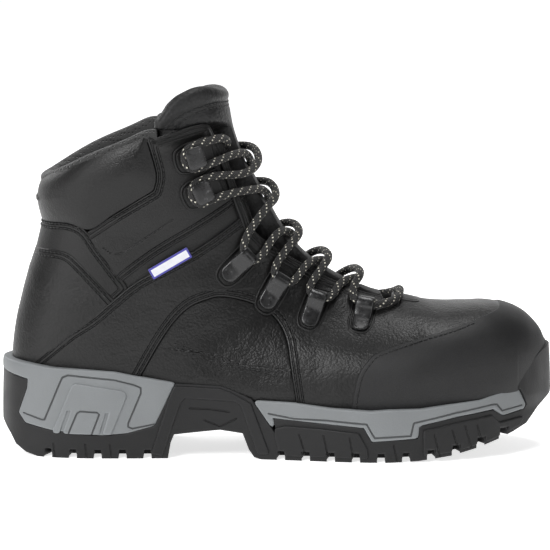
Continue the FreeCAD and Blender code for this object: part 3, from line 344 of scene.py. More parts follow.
def clip(surface, value, gradient):
    """The part of a surface where value is positive, as vertices with their data, and triangles."""
    points = surface.points.reshape(-1, 3).copy()
    normals = surface.normals.reshape(-1, 3)
    value = value.copy()
    snap = np.abs(value) < 0.28 * surface.cell
    points[snap] -= gradient[snap] * value[snap][:, None]
    value[snap] = 1e-6
    tri = surface.triangles
    tri = tri[(~snap[tri] & (value[tri] > 0)).any(1)]
    positive = value > 0
    count = positive[tri].sum(1)
    kept = [tri[count == 3]]
    extra_a, extra_b = [], []
    base = len(points)
    for wanted in (1, 2):
        some = tri[count == wanted]
        odd = positive[some] if wanted == 1 else ~positive[some]
        first = np.argmax(odd, axis=1)
        some = np.stack([some[np.arange(len(some)), (first + k) % 3] for k in range(3)], -1)
        n = base + sum(len(e) for e in extra_a)
        p = np.arange(len(some)) * 2 + n
        q = p + 1
        extra_a.append(np.stack([some[:, 0], some[:, 0]], -1).ravel())
        extra_b.append(np.stack([some[:, 1], some[:, 2]], -1).ravel())
        if wanted == 1:
            kept.append(np.stack([some[:, 0], p, q], -1))
        else:
            kept.append(np.stack([p, some[:, 1], some[:, 2]], -1))
            kept.append(np.stack([p, some[:, 2], q], -1))
    a, b = np.concatenate(extra_a), np.concatenate(extra_b)
    low, high = np.minimum(a, b), np.maximum(a, b)
    keys, inverse = np.unique(low.astype(np.int64) * base + high, return_inverse=True)
    low, high = keys // base, keys % base
    t = (value[low] / (value[low] - value[high]))[:, None]
    points = np.concatenate([points, points[low] + (points[high] - points[low]) * t])
    normals = unit(np.concatenate([normals, normals[low] + (normals[high] - normals[low]) * t]))
    values = np.concatenate([value, np.zeros(len(keys))])
    tri = np.concatenate(kept)
    number = base + np.arange(len(keys))
    number = np.where(snap[keys // base], keys // base, np.where(snap[keys % base], keys % base, number))
    new = tri >= base
    tri[new] = number[inverse.ravel()[tri[new] - base]]
    tri = tri[(tri[:, 0] != tri[:, 1]) & (tri[:, 1] != tri[:, 2]) & (tri[:, 2] != tri[:, 0])]
    used, tri = np.unique(tri.ravel(), return_inverse=True)
    return points[used], normals[used], values[used], tri.reshape(-1, 3)


def border(tri, count):
    """Directed edges used by one triangle only."""
    edges = np.concatenate([tri[:, [0, 1]], tri[:, [1, 2]], tri[:, [2, 0]]])
    key = np.minimum(edges[:, 0], edges[:, 1]) * count + np.maximum(edges[:, 0], edges[:, 1])
    _, index, uses = np.unique(key, return_index=True, return_counts=True)
    return edges[index[uses == 1]]


def outward(points, normals, edges):
    """Directions in the surface, pointing out across its border, at the border's vertices."""
    run = points[edges[:, 1]] - points[edges[:, 0]]
    push = np.cross(run, (normals[edges[:, 0]] + normals[edges[:, 1]]) / 2)
    total = np.zeros_like(points)
    np.add.at(total, edges[:, 0], push)
    np.add.at(total, edges[:, 1], push)
    for _ in range(4):
        smooth = total.copy()
        np.add.at(smooth, edges[:, 0], 0.5 * total[edges[:, 1]])
        np.add.at(smooth, edges[:, 1], 0.5 * total[edges[:, 0]])
        total = smooth / 2
    total -= normals * (total * normals).sum(1)[:, None]
    return unit(total)


def make_mesh(name, points, faces, material, data=None):
    """An object from points in millimetres. data holds float attributes, one value a point."""
    mesh = bpy.data.meshes.new(name)
    mesh.from_pydata((np.asarray(points) * MM).tolist(), [], [list(map(int, f)) for f in faces])
    for key, values in (data or {}).items():
        attribute = mesh.attributes.new(key, "FLOAT", "POINT")
        attribute.data.foreach_set("value", np.asarray(values, np.float32))
    mesh.materials.append(material)
    mesh.polygons.foreach_set("use_smooth", [True] * len(mesh.polygons))
    mesh.update()
    made = bpy.data.objects.new(name, mesh)
    bpy.context.scene.collection.objects.link(made)
    return made


# A panel's rounded edge: steps outward and down, in shares of the bevel; None is down to the underside.
EDGE_PROFILE = [(0.45, 0.12), (0.8, 0.42), (1.0, 0.95), (1.0, None)]
NO_LINE = 50.0                 # "line" of a point with no engraved line near it


def panel_mesh(surface, line, side, low, high, bevel=0.6, relief=None, lines=()):
    """Points, faces and data of a plate on the surface with a rounded edge."""
    value, gradient = field(surface, line, side)
    points, normals, depth, tri = clip(surface, value - bevel, gradient)
    depth = depth + bevel
    lift = np.full(len(points), float(high))
    if relief is not None:
        lift = lift + relief(points, normals, depth)
    edges = border(tri, len(points))
    rim = np.unique(edges)
    out = outward(points, normals, edges)
    place = -np.ones(len(points), int)
    place[rim] = np.arange(len(rim))
    faces = [tri]
    rings = [points + normals * lift[:, None]]
    depths = [depth]
    start = len(points)
    previous = rim
    for across, down in EDGE_PROFILE:
        level = lift[rim] - bevel * down if down is not None else np.full(len(rim), float(low))
        rings.append(points[rim] + out[rim] * bevel * across + normals[rim] * level[:, None])
        depths.append(np.full(len(rim), bevel * (1 - across)))
        ids = start + np.arange(len(rim))
        a, b = place[edges[:, 0]], place[edges[:, 1]]
        faces.append(np.stack([previous[a], ids[a], ids[b]], -1))
        faces.append(np.stack([previous[a], ids[b], previous[b]], -1))
        previous = ids
        start += len(rim)
    everything = np.concatenate(rings)
    gap = np.full(len(everything), NO_LINE)
    for item in lines:
        gap = np.minimum(gap, distances(everything[:, [0, 2]], np.array(item, float), closed=False)[0])
    return everything, np.concatenate(faces), {"edge": np.concatenate(depths), "line": gap}


def panel(name, surface, line, side, low, high, material, **more):
    """A panel of the boot between two lifts off a surface; side is 0 where it spans both sides."""
    points, faces, data = panel_mesh(surface, line, side, low, high, **more)
    made = make_mesh(name, points, faces, material, data)
    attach(made, "boot")
    return made


def chains(edges):
    """Directed border edges as lists of vertex numbers, one list for each line."""
    follow = {int(a): int(b) for a, b in edges}
    heads = set(follow) - set(follow.values())
    lines = []
    while follow:
        start = heads.pop() if heads else next(iter(follow))
        line = [start]
        while line[-1] in follow:
            line.append(follow.pop(line[-1]))
        lines.append(line)
        heads &= set(follow)
    return lines


STITCH_PITCH = 2.9
STITCH_SIZE = 1.25
STITCH_LENGTH, STITCH_RADIUS = 1.05, 0.36      # half length and radius, before they are scaled by the size
STITCH_SIDES = 5
# Across a stitch's ends: place along it, share of the radius, and how far it stands out.
STITCH_PROFILE = [(-1.0, 0.25, -0.35), (-0.62, 0.9, 0.05), (0.62, 0.9, 0.05), (1.0, 0.25, -0.35)]
stitches = []                  # (middles, normals, directions) of the stitches of each row


def add_stitches(points, normals):
    """Stitches along a line of points in millimetres."""
    reach = reach_along(points)
    if reach[-1] < 2 * STITCH_PITCH:
        return
    count = int(reach[-1] / STITCH_PITCH)
    at = (np.arange(count) + 0.5) * reach[-1] / count
    ahead, behind = at_reach(at + 0.8, reach, points), at_reach(at - 0.8, reach, points)
    stitches.append((at_reach(at, reach, points), unit(at_reach(at, reach, normals)), unit(ahead - behind)))


def seam_along(surface, line, side, distance, lift, keep=None):
    """A row of stitches inside an outline at a set distance from its edge."""
    value, gradient = field(surface, line, side)
    points, normals, depth, tri = clip(surface, value - distance, gradient)
    if not len(tri):
        return
    for chain in chains(border(tri, len(points))):
        p, n = points[chain], normals[chain]
        p = p + n * lift
        keeping = np.ones(len(p), bool) if keep is None else keep(p)
        cuts = np.flatnonzero(np.diff(keeping.astype(int))) + 1
        for piece_p, piece_n, flag in zip(np.split(p, cuts), np.split(n, cuts), np.split(keeping, cuts)):
            if flag[0] and len(piece_p) > 4:
                add_stitches(piece_p, piece_n)


def seam_line(points, side, lift):
    """A row of stitches along a line drawn in the side view."""
    line = spline(points, 10)
    p, n = side_point(line[:, 0], line[:, 1], side, lift)
    add_stitches(p, n)


def stitch_object(name, material):
    """All the stitches gathered so far as one piece."""
    middle, normal, along = (np.concatenate([row[k] for row in stitches]) for k in range(3))
    across = np.cross(normal, along)
    points = []
    for t, r, sink in STITCH_PROFILE:
        for k in range(STITCH_SIDES):
            turn = 2 * math.pi * k / STITCH_SIDES
            out = math.sin(turn) * STITCH_RADIUS * r + sink * STITCH_RADIUS + 0.12
            points.append(middle + along * (t * STITCH_LENGTH * STITCH_SIZE)
                          + across * (math.cos(turn) * STITCH_RADIUS * r * STITCH_SIZE)
                          + normal * (out * STITCH_SIZE))
    index, template = grid_numbers(len(STITCH_PROFILE), STITCH_SIDES, cyclic=True)
    points = np.stack(points, 1).reshape(-1, 3)
    faces = (np.arange(len(middle))[:, None, None] * index.size + template[None]).reshape(-1, 4)
    made = make_mesh(name, points, faces, material)
    stitches.clear()
    return made


# ---------------------------------------------------------------- materials


class Nodes:
    """A short way to write a material's node tree."""

    def __init__(self, name):
        self.material = bpy.data.materials.new(name)
        self.material.use_nodes = True
        self.tree = self.material.node_tree
        self.tree.nodes.clear()
        self.shader = self.add("ShaderNodeBsdfPrincipled")
        out = self.add("ShaderNodeOutputMaterial")
        self.tree.links.new(self.shader.outputs["BSDF"], out.inputs["Surface"])
        self.place = self.add("ShaderNodeTexCoord").outputs["Object"]

    def add(self, kind, **settings):
        node = self.tree.nodes.new(kind)
        for key, value in settings.items():
            setattr(node, key, value)
        return node

    def feed(self, socket, value):
        if hasattr(value, "is_output"):
            self.tree.links.new(value, socket)
        elif hasattr(value, "__len__") and len(value) == 3 and socket.type == "RGBA":
            socket.default_value = (*value, 1.0)
        else:
            socket.default_value = value

    def math(self, operation, a, b=0.0, clamp=False):
        node = self.add("ShaderNodeMath", operation=operation, use_clamp=clamp)
        for socket, value in zip(node.inputs, (a, b)):
            self.feed(socket, value)
        return node.outputs[0]

    def range(self, value, a, b, low=0.0, high=1.0):
        node = self.add("ShaderNodeMapRange", interpolation_type="SMOOTHSTEP")
        for socket, item in zip(node.inputs, (value, a, b, low, high)):
            self.feed(socket, item)
        return node.outputs[0]

    def mix(self, share, a, b):
        node = self.add("ShaderNodeMix", data_type="RGBA")
        self.feed(node.inputs[0], share)
        self.feed(node.inputs[6], a)
        self.feed(node.inputs[7], b)
        return node.outputs[2]

    def noise(self, scale, detail=2.0, where=None):
        node = self.add("ShaderNodeTexNoise")
        self.feed(node.inputs["Vector"], where or self.place)
        self.feed(node.inputs["Scale"], scale)
        self.feed(node.inputs["Detail"], detail)
        return node.outputs["Fac"]

    def cells(self, scale, where=None, randomness=1.0):
        node = self.add("ShaderNodeTexVoronoi", feature="F1")
        self.feed(node.inputs["Vector"], where or self.place)
        self.feed(node.inputs["Scale"], scale)
        self.feed(node.inputs["Randomness"], randomness)
        return node.outputs["Distance"]

    def warped(self, scale, amount):
        """Coordinates pushed about by a soft noise, so that patterns don't look ruled."""
        noise = self.add("ShaderNodeTexNoise")
        self.feed(noise.inputs["Vector"], self.place)
        self.feed(noise.inputs["Scale"], scale)
        node = self.add("ShaderNodeVectorMath", operation="MULTIPLY_ADD")
        self.feed(node.inputs[0], noise.outputs["Color"])
        node.inputs[1].default_value = (amount,) * 3
        self.feed(node.inputs[2], self.place)
        return node.outputs[0]

    def bump(self, height, distance, strength=1.0, normal=None):
        node = self.add("ShaderNodeBump")
        self.feed(node.inputs["Height"], height)
        self.feed(node.inputs["Distance"], distance)
        self.feed(node.inputs["Strength"], strength)
        if normal is not None:
            self.feed(node.inputs["Normal"], normal)
        return node.outputs["Normal"]

    def attribute(self, name):
        return self.add("ShaderNodeAttribute", attribute_name=name).outputs["Fac"]

    def finish(self, **sockets):
        for key, value in sockets.items():
            self.feed(self.shader.inputs[key.replace("_", " ")], value)
        return self.material


def groove(n, distance, at, half):
    """1 in a channel that runs at a set distance from a piece's edge."""
    off = n.math("ABSOLUTE", n.math("SUBTRACT", distance, at))
    return n.range(off, half * 0.35, half, 1.0, 0.0)


SEAM_ROWS = (1.7, 4.1)         # the two rows of a double seam, from a piece's edge
CHANNEL_HALF = 0.75            # half the width of the channel that a row of stitches lies in


def tinted(n, shade, colour):
    """A colour made darker or lighter by a shade, which is 1 where the colour stays as it is."""
    return n.mix(n.math("MULTIPLY", shade, 0.5, clamp=True), (0.0, 0.0, 0.0), tuple(2 * c for c in colour))


def leather(name, colour, grain, depth, rough, rows=()):
    """Leather with pebbled grain. rows are the distances of sewn channels from the edge.

    grain is in cells a metre, and depth in metres.
    """
    n = Nodes(name)
    warp = n.warped(90.0, 0.004)
    pebble = n.cells(grain, warp)
    fine = n.cells(grain * 2.3, warp)
    crease = n.noise(grain * 0.35, 3.0, warp)
    patch = n.noise(14.0, 2.0)
    height = n.math("ADD", n.math("MULTIPLY", pebble, -0.75), n.math("MULTIPLY", fine, -0.3))
    height = n.math("ADD", height, n.math("MULTIPLY", crease, 0.9))
    normal = n.bump(height, depth)
    normal = n.bump(n.noise(38.0, 2.0), 0.0012, 0.55, normal)
    edge = n.attribute("edge")
    # Darker towards the piece's rounded edge: painted shade where it turns down.
    dark = n.range(edge, 0.0, 0.7, 0.55, 1.0)
    mark = n.range(n.attribute("line"), 0.2, 0.7, 1.0, 0.0)
    normal = n.bump(n.math("SUBTRACT", 1.0, mark), 0.0006, 0.8, normal)
    # Embossed lines painted darker: painted shade in them.
    dark = n.math("MULTIPLY", dark, n.range(mark, 0.0, 1.0, 1.0, 0.6))
    for at in rows:
        channel = groove(n, edge, at, CHANNEL_HALF)
        normal = n.bump(n.math("SUBTRACT", 1.0, channel), 0.0007, 0.9, normal)
        # Stitch channels painted darker: painted shade in them.
        dark = n.math("MULTIPLY", dark, n.range(channel, 0.0, 1.0, 1.0, 0.15))
    shade = n.range(patch, 0.3, 0.7, 0.82, 1.2)
    # Painted shade in the grain's valleys, with the pebbles' tops painted lighter.
    valley = n.range(pebble, 0.15, 0.75, 1.12, 0.7)
    base = tinted(n, n.math("MULTIPLY", n.math("MULTIPLY", shade, dark), valley), colour)
    uneven = n.math("ADD", patch, n.math("MULTIPLY", fine, 0.25))
    worn = n.range(uneven, 0.35, 0.85, rough - 0.07, rough + 0.1)
    return n.finish(Base_Color=base, Roughness=worn, Normal=normal, Specular_IOR_Level=0.33)


def mesh_cloth(name, colour, pitch=0.0021):
    """Knitted air mesh: small round holes in offset rows, painted dark as shade, and a bright thread between
    them.
    """
    n = Nodes(name)
    scale = 1.0 / pitch
    warp = n.warped(160.0, 0.0008)
    open_hole = n.range(n.cells(scale, warp, 0.22), 0.22, 0.42, 0.0, 1.0)
    thread = n.noise(scale * 5, 2.0)
    rib = n.add("ShaderNodeTexWave", wave_type="BANDS", bands_direction="DIAGONAL")
    n.feed(rib.inputs["Vector"], warp)
    n.feed(rib.inputs["Scale"], scale / 9)
    height = n.math("ADD", open_hole, n.math("MULTIPLY", thread, 0.35))
    height = n.math("ADD", height, n.math("MULTIPLY", rib.outputs["Fac"], 0.4))
    normal = n.bump(height, 0.0006, 0.9)
    # The holes are painted dark: painted shade in them.
    share = n.math("MULTIPLY", open_hole, n.range(thread, 0.3, 0.7, 0.5, 1.0))
    base = n.mix(share, tuple(c * 0.15 for c in colour), colour)
    return n.finish(Base_Color=base, Roughness=0.85, Normal=normal, Sheen_Weight=0.25, Sheen_Roughness=0.4)


def moulded(name, colour, rough, speck, bump_depth, marked=True, edge_highlight=1.12):
    """Moulded rubber or foam with a fine texture, engraved lines painted darker as shade, and edges painted
    lighter as a highlight.
    """
    n = Nodes(name)
    texture = n.noise(900.0, 3.0)
    blotch = n.noise(45.0, 3.0)
    grit = n.cells(1400.0)
    normal = n.bump(n.math("ADD", texture, n.math("MULTIPLY", grit, 0.5)), bump_depth)
    shade = n.range(blotch, 0.25, 0.75, 1 - speck, 1 + speck)
    if marked:
        cut = n.range(n.attribute("line"), 0.2, 0.6, 1.0, 0.0)
        normal = n.bump(n.math("SUBTRACT", 1.0, cut), 0.0008, 1.0, normal)
        # Edges painted lighter: a painted highlight along the rim of the piece.
        shade = n.math("MULTIPLY", shade, n.range(n.attribute("edge"), 0.0, 1.3, edge_highlight, 1.0))
        # Engraved lines painted darker: painted shade in them.
        shade = n.math("MULTIPLY", shade, n.range(cut, 0.0, 1.0, 1.0, 0.3))
    worn = n.range(blotch, 0.3, 0.7, rough - 0.06, rough + 0.06)
    base = tinted(n, shade, colour)
    return n.finish(Base_Color=base, Roughness=worn, Normal=normal, Specular_IOR_Level=0.32)


def enamel(name, colour, rough):
    """Black enamelled metal with orange-peel, small chips and rubbed high spots."""
    n = Nodes(name)
    peel = n.noise(1300.0, 1.0)
    wear = n.noise(420.0, 4.0)
    rubbed = n.range(wear, 0.62, 0.72, 0.0, 1.0)
    base = n.mix(n.math("MULTIPLY", rubbed, 0.5), colour, (0.11, 0.11, 0.115))
    normal = n.bump(peel, 0.00008, 0.5)
    return n.finish(Base_Color=base, Roughness=n.range(wear, 0.3, 0.7, rough - 0.05, rough + 0.12),
                    Normal=normal, Metallic=0.35, Coat_Weight=0.3, Coat_Roughness=0.25)


def thread_material(name, colour):
    n = Nodes(name)
    twist = n.add("ShaderNodeTexWave", wave_type="BANDS", bands_direction="DIAGONAL")
    n.feed(twist.inputs["Vector"], n.place)
    n.feed(twist.inputs["Scale"], 900.0)
    # The twist's grooves are painted darker: painted shade in them.
    base = n.mix(twist.outputs["Fac"], tuple(c * 0.5 for c in colour), colour)
    return n.finish(Base_Color=base, Roughness=0.5, Normal=n.bump(twist.outputs["Fac"], 0.0002))


BRAID_STRANDS = 5              # strands of each hand round the lace
BRAID_PITCH = 3.4              # millimetres along it from one strand to the next


def braid(name):
    """Round braid: two sets of strands crossing, with cream flecks in rows along it."""
    n = Nodes(name)
    turns = n.math("MULTIPLY", n.attribute("around"), BRAID_STRANDS)
    climb = n.math("DIVIDE", n.attribute("along"), BRAID_PITCH)
    cell_u = n.math("ADD", turns, climb)
    cell_v = n.math("SUBTRACT", turns, climb)
    one = n.math("SINE", n.math("MULTIPLY", cell_u, 2 * math.pi))
    two = n.math("SINE", n.math("MULTIPLY", cell_v, 2 * math.pi))
    high = n.math("ABSOLUTE", n.math("MULTIPLY", one, two))
    normal = n.bump(n.math("POWER", n.math("ADD", high, 0.02), 0.5), 0.0005, 0.9)
    normal = n.bump(n.noise(2600.0, 2.0), 0.00015, 0.6, normal)
    spot_u, spot_v = (n.range(n.math("ABSOLUTE", n.math("SUBTRACT", n.math("FRACT", cell), 0.5)),
                              0.14, 0.22, 1.0, 0.0) for cell in (cell_u, cell_v))
    # Every second strand carries the flecks.
    strand = n.math("MODULO", n.math("ADD", n.math("ABSOLUTE", n.math("FLOOR", cell_u)), 0.25), 2.0)
    fleck = n.math("MULTIPLY", n.math("MULTIPLY", spot_u, spot_v), n.range(strand, 0.9, 1.0, 1.0, 0.0))
    # Crevices between the strands painted darker: painted shade in them.
    dark = n.mix(n.range(high, 0.0, 0.7), (0.002, 0.002, 0.002), (0.0115, 0.011, 0.0105))
    base = n.mix(fleck, dark, (0.68, 0.65, 0.55))
    return n.finish(Base_Color=base, Roughness=0.62, Normal=normal, Sheen_Weight=0.06, Sheen_Roughness=0.4)


def label_weave(name):
    n = Nodes(name)
    border = n.range(n.attribute("edge"), 1.0, 1.15, 0.0, 1.0)
    ribs = n.add("ShaderNodeTexWave", wave_type="BANDS", bands_direction="DIAGONAL")
    n.feed(ribs.inputs["Vector"], n.place)
    n.feed(ribs.inputs["Scale"], 700.0)
    soil = n.noise(300.0, 3.0)
    field_colour = n.mix(soil, (0.62, 0.63, 0.68), (0.78, 0.78, 0.8))
    base = n.mix(border, (0.055, 0.05, 0.33), field_colour)
    return n.finish(Base_Color=base, Roughness=0.7, Normal=n.bump(ribs.outputs["Fac"], 0.0002),
                    Sheen_Weight=0.3)


def plain_part(name, colour, rough, scale, metallic=0.0, depth=0.0001):
    """A part hidden inside: fine texture, blotches and a rubbed look."""
    n = Nodes(name)
    grit = n.noise(scale, 4.0)
    blotch = n.noise(30.0, 3.0)
    base = n.mix(n.range(blotch, 0.3, 0.7), tuple(c * 0.75 for c in colour), colour)
    return n.finish(Base_Color=base, Roughness=n.range(grit, 0.3, 0.7, rough - 0.08, rough + 0.08),
                    Metallic=metallic, Normal=n.bump(grit, depth))


BLACK = (0.0068, 0.0067, 0.0067)
RUBBER_BLACK = (0.008, 0.008, 0.0084)
GRAINED = (BLACK, 680.0, 0.00018, 0.38)
SMOOTH = (BLACK, 1100.0, 0.00012, 0.4)
grained = leather("grained_leather", *GRAINED)
grained_rows = leather("grained_leather_sewn", *GRAINED, rows=SEAM_ROWS)
smooth_rows = leather("smooth_leather_sewn", *SMOOTH, rows=SEAM_ROWS)
smooth_row = leather("smooth_leather_row", *SMOOTH, rows=SEAM_ROWS[:1])
# The collar's leather is painted darker than the other black leather: painted shade.
collar_skin = leather("collar_leather", (0.0042, 0.0041, 0.0041), 900.0, 0.00014, 0.36)
tongue_skin = leather("tongue_leather", (0.0115, 0.0115, 0.0118), 560.0, 0.0003, 0.45)
coated = leather("coated_leather", (0.0115, 0.0115, 0.012), 2000.0, 0.00004, 0.5)
air_mesh = mesh_cloth("lining_mesh", (0.028, 0.028, 0.028))
thread = thread_material("sewing_thread", (0.013, 0.013, 0.0135))
# The grey foam and the black rubber get their edges painted lighter by their last number, as a highlight.
grey_foam = moulded("grey_foam", (0.168, 0.177, 0.182), 0.62, 0.05, 0.00006, edge_highlight=1.3)
rubber = moulded("black_rubber", RUBBER_BLACK, 0.52, 0.12, 0.00007, edge_highlight=1.7)
tread_rubber = moulded("tread_rubber", RUBBER_BLACK, 0.58, 0.15, 0.00009, marked=False)
black_metal = enamel("black_metal", (0.012, 0.012, 0.0125), 0.3)
lace_braid = braid("lace_braid")
aglet_film = plain_part("aglet_plastic", (0.02, 0.02, 0.02), 0.25, 900.0)
weave = label_weave("label_weave")
steel = plain_part("cap_steel", (0.42, 0.42, 0.43), 0.38, 700.0, 1.0)
stiff_sheet = plain_part("stiffener_plastic", (0.3, 0.28, 0.25), 0.6, 800.0)
foam = plain_part("soft_foam", (0.06, 0.06, 0.06), 0.9, 1500.0, depth=0.0004)
bed_cloth = mesh_cloth("footbed_fabric", (0.05, 0.05, 0.055), 0.0014)

# ---------------------------------------------------------------- lines of the upper, seen from the side

COLLAR_FRONT = [(-72.4, 182.6), (-67.8, 167.0), (-66.3, 158.6), (-67.9, 151.2)]
COLLAR_TOP = [(-142.0, 154.6), (-128.8, 157.0), (-105.1, 169.2), (-83.7, 177.6), (-72.4, 182.6)]
COLLAR_LOW = [(-67.9, 151.2), (-76.4, 146.1), (-90.5, 137.5), (-103.5, 128.6), (-115.8, 131.2),
              (-128.0, 131.0), (-142.0, 130.6)]
BAND_LOW = [(-146.0, 115.4), (-134.0, 115.8), (-124.8, 116.2), (-116.4, 114.8), (-108.5, 108.5),
            (-90.5, 90.0)]
EYE_LINE = [(-34.0, 180.0), (-28.5, 168.0), (-22.8, 151.0), (-17.2, 136.5), (-12.7, 126.5),
            (-0.8, 116.2), (18.9, 103.4), (33.0, 96.0), (47.6, 90.0), (66.0, 84.4)]
ANKLE_TOP = [(-66.8, 180.5), (-56.0, 184.0), (-45.4, 187.0), (-38.0, 187.0), (-34.0, 180.0)]
SEAM_A = [(-140.0, 49.0), (-131.0, 57.0), (-116.0, 70.0), (-103.5, 78.5), (-93.0, 87.5), (-83.0, 96.0),
          (-75.0, 101.5), (-63.0, 107.8), (-50.0, 114.5), (-38.6, 121.5), (-28.0, 128.8), (-17.2, 136.5)]
STRAP_TOP = [(-84.5, 101.0), (-72.0, 110.5), (-60.0, 118.5), (-47.0, 126.0), (-33.5, 134.0), (-19.8, 142.8)]
ARCH = [(-78.4, 42.0), (-62.3, 69.8), (-50.4, 84.0), (-38.6, 89.7), (-29.0, 90.9), (-13.2, 86.9),
        (-0.8, 78.9), (5.9, 67.5), (8.6, 52.8), (13.0, 25.0)]
GUARD_EDGE = [(41.4, 22.0), (45.4, 45.1), (51.6, 55.4), (58.9, 60.4), (80.3, 67.0), (95.0, 70.6),
              (107.9, 74.2), (119.0, 77.6), (125.6, 79.8), (127.6, 83.0)]


def bottom_height(x):
    """Height of the form's bottom line at x."""
    return np.interp(x, STATIONS[7:, 2], STATIONS[7:, 3])


upper = form_surface(-0.35, LAST + 0.995, 0.055, 130)

quarter_line = outline(
    SEAM_A, EYE_LINE[3:], (66.0, 84.4), (66.0, 100.0), (170.0, 100.0), (170.0, 5.0), (-30.0, 5.0),
    (-150.0, 25.0),
)
arch_window = outline(ARCH, ARCH[-1], (14.0, 5.0), (-82.0, 5.0))
ankle_line = outline(
    COLLAR_LOW[:4], COLLAR_LOW[3], (-110.0, 124.0), (-92.0, 92.0), STRAP_TOP,
    [STRAP_TOP[-1]] + EYE_LINE[2::-1], ANKLE_TOP[::-1], ANKLE_TOP[0], COLLAR_FRONT,
)
strap_line = outline((-90.0, 92.0), (-88.0, 103.0), (-45.0, 131.0), (-17.0, 147.0), (-12.0, 132.0),
                     (-90.0, 80.0))
band_line = outline(
    [(-150.0, 131.6), (-128.0, 132.0), (-115.8, 132.4), (-106.5, 128.2), (-98.5, 117.5), (-82.0, 96.0)],
    (-82.0, 95.0), (-96.0, 82.0), (-112.0, 102.0), (-150.0, 105.0),
)
counter_line = outline(BAND_LOW, BAND_LOW[-1], (-80.0, 84.0), (-115.0, 40.0), (-160.0, 40.0))
guard_line = outline(GUARD_EDGE, GUARD_EDGE[-1], (127.6, 100.0), (175.0, 100.0), (175.0, 5.0), (40.0, 5.0))
collar_line = outline(COLLAR_TOP, COLLAR_FRONT, COLLAR_LOW, COLLAR_LOW[-1])


def swell(height, reach):
    """Padding that rises from the edge of a piece."""
    return lambda points, normals, depth: height * (1 - np.exp(-np.maximum(depth, 0) / reach))


def wrinkles(points, amount, scale=1.0):
    """Soft, broad unevenness of worked leather."""
    x, y, z = (points / (11.0 * scale)).T
    wave = np.sin(1.7 * x + 0.6 * z + 1.1 * y) * np.sin(1.3 * z - 0.9 * x + 0.4)
    wave += 0.5 * np.sin(3.1 * x - 2.3 * z + 2.0 * y + 1.0) * np.sin(2.7 * z + 1.9 * x)
    return amount * wave


def soft(height, reach, amount):
    rise = swell(height, reach)
    return lambda points, normals, depth: rise(points, normals, depth) + wrinkles(points, amount)


def above_sole(p):
    return p[:, 2] > np.maximum(bottom_height(p[:, 0]), 12.0) + 13.0


def on_ankle_edges(p):
    """True away from the ankle panel's hidden rear edge and its top."""
    behind = (p[:, 0] < -84.0) & (p[:, 2] < 134.0)
    return ((p[:, 0] < -60.0) | (p[:, 2] < 146.0)) & ~behind


QUARTER_TOP = 1.5
PANEL_LOW = -2.0               # undersides of the leather panels, off the form


def double_seam(region, side, lift, keep):
    """Two rows of stitches inside the edge of a piece of the upper, where keep is true."""
    for row in SEAM_ROWS:
        seam_along(upper, region, side, row, lift, keep)


quarter_region = {"join": [quarter_line], "less": [arch_window]}
quarters = panel("quarters_and_vamp", upper, quarter_region, 0, PANEL_LOW, QUARTER_TOP, grained_rows,
                 relief=soft(0.3, 5.0, 0.16))
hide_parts("quarter_outer", "quarter_inner", "vamp")
double_seam(quarter_region, 0, QUARTER_TOP, lambda p: above_sole(p) & (p[:, 0] < 62.0))

counter = panel("heel_counter", upper, counter_line, 0, PANEL_LOW, 0.9, grained_rows,
                relief=soft(0.8, 9.0, 0.1))
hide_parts("heel_counter_cover")
double_seam(counter_line, 0, 1.0, lambda p: (p[:, 2] > 92.0) & (p[:, 0] > -134.0))

band = panel("heel_band_piece", upper, band_line, 0, PANEL_LOW, 0.4, smooth_rows, relief=swell(0.3, 4.0))
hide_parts("heel_band")
double_seam(band_line, 0, 0.6, lambda p: p[:, 2] > 100.0)

ANKLE_ROLL = spline(ANKLE_TOP, 6)


def rolled_top(points, normals, depth):
    """Soft leather, with a padded roll along the ankle panel's top edge."""
    away = distances(points[:, [0, 2]], ANKLE_ROLL, closed=False)[0]
    return soft(0.5, 5.0, 0.14)(points, normals, depth) + 1.8 * np.exp(-((away - 3.4) / 2.6) ** 2)


EMBOSSED_LINE = [(-96.7, 119.0), (-92.1, 115.6), (-88.0, 115.3), (-84.0, 117.0), (-57.2, 134.6)]
ARCH_CREASE = [(-60.0, 62.0), (-36.9, 59.5), (-17.2, 52.7), (8.0, 50.5)]
ARCH_SEAM = [(-57.0, 66.5), (-36.9, 59.5), (-17.2, 52.7), (4.0, 50.7)]
for name, side in (("outer", OUTER), ("inner", INNER)):
    ankle = panel("ankle_panel_" + name, upper, ankle_line, side, PANEL_LOW, 0.1, smooth_rows,
                  relief=rolled_top, lines=[EMBOSSED_LINE])
    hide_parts("hook_facing_" + name)
    double_seam(ankle_line, side, 0.4, on_ankle_edges)
    strap = panel("strap_" + name, upper, strap_line, side, PANEL_LOW, -0.5, smooth_row)
    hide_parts("ankle_strap_" + name)
    arch = panel("arch_" + name, upper, arch_window, side, PANEL_LOW, 0.1, grained,
                 relief=soft(0.5, 8.0, 0.12), lines=[ARCH_CREASE])
    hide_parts("arch_panel_" + name)
    for dz in (-1.6, -3.8):
        seam_line([(x, z + dz) for x, z in ARCH_SEAM], side, 0.6)

BUMPER_EDGE = [(135.5, 43.0), (140.5, 50.0), (146.5, 55.8), (152.5, 59.4)]
under_bumper = outline([(x + 3.0, z - 2.0) for x, z in BUMPER_EDGE], (155.5, 57.4), (172.0, 60.0),
                       (172.0, 5.0), (141.0, 5.0))
guard = panel("toe_guard_piece", upper, {"join": [guard_line], "less": [under_bumper]}, 0, 1.0, 2.5,
              coated, bevel=0.8, relief=soft(0.5, 9.0, 0.08))
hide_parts("toe_guard")
seam_along(upper, guard_line, 0, 2.4, 2.6, lambda p: above_sole(p) & (p[:, 0] < 112.0))

collar = panel("collar_pad", upper, collar_line, 0, -4.5, 0.6, collar_skin, bevel=1.2,
               relief=lambda p, n, d: swell(3.9, 6.5)(p, n, d) + wrinkles(p, 0.18, 1.4))
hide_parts("collar_cover", "collar_foam")

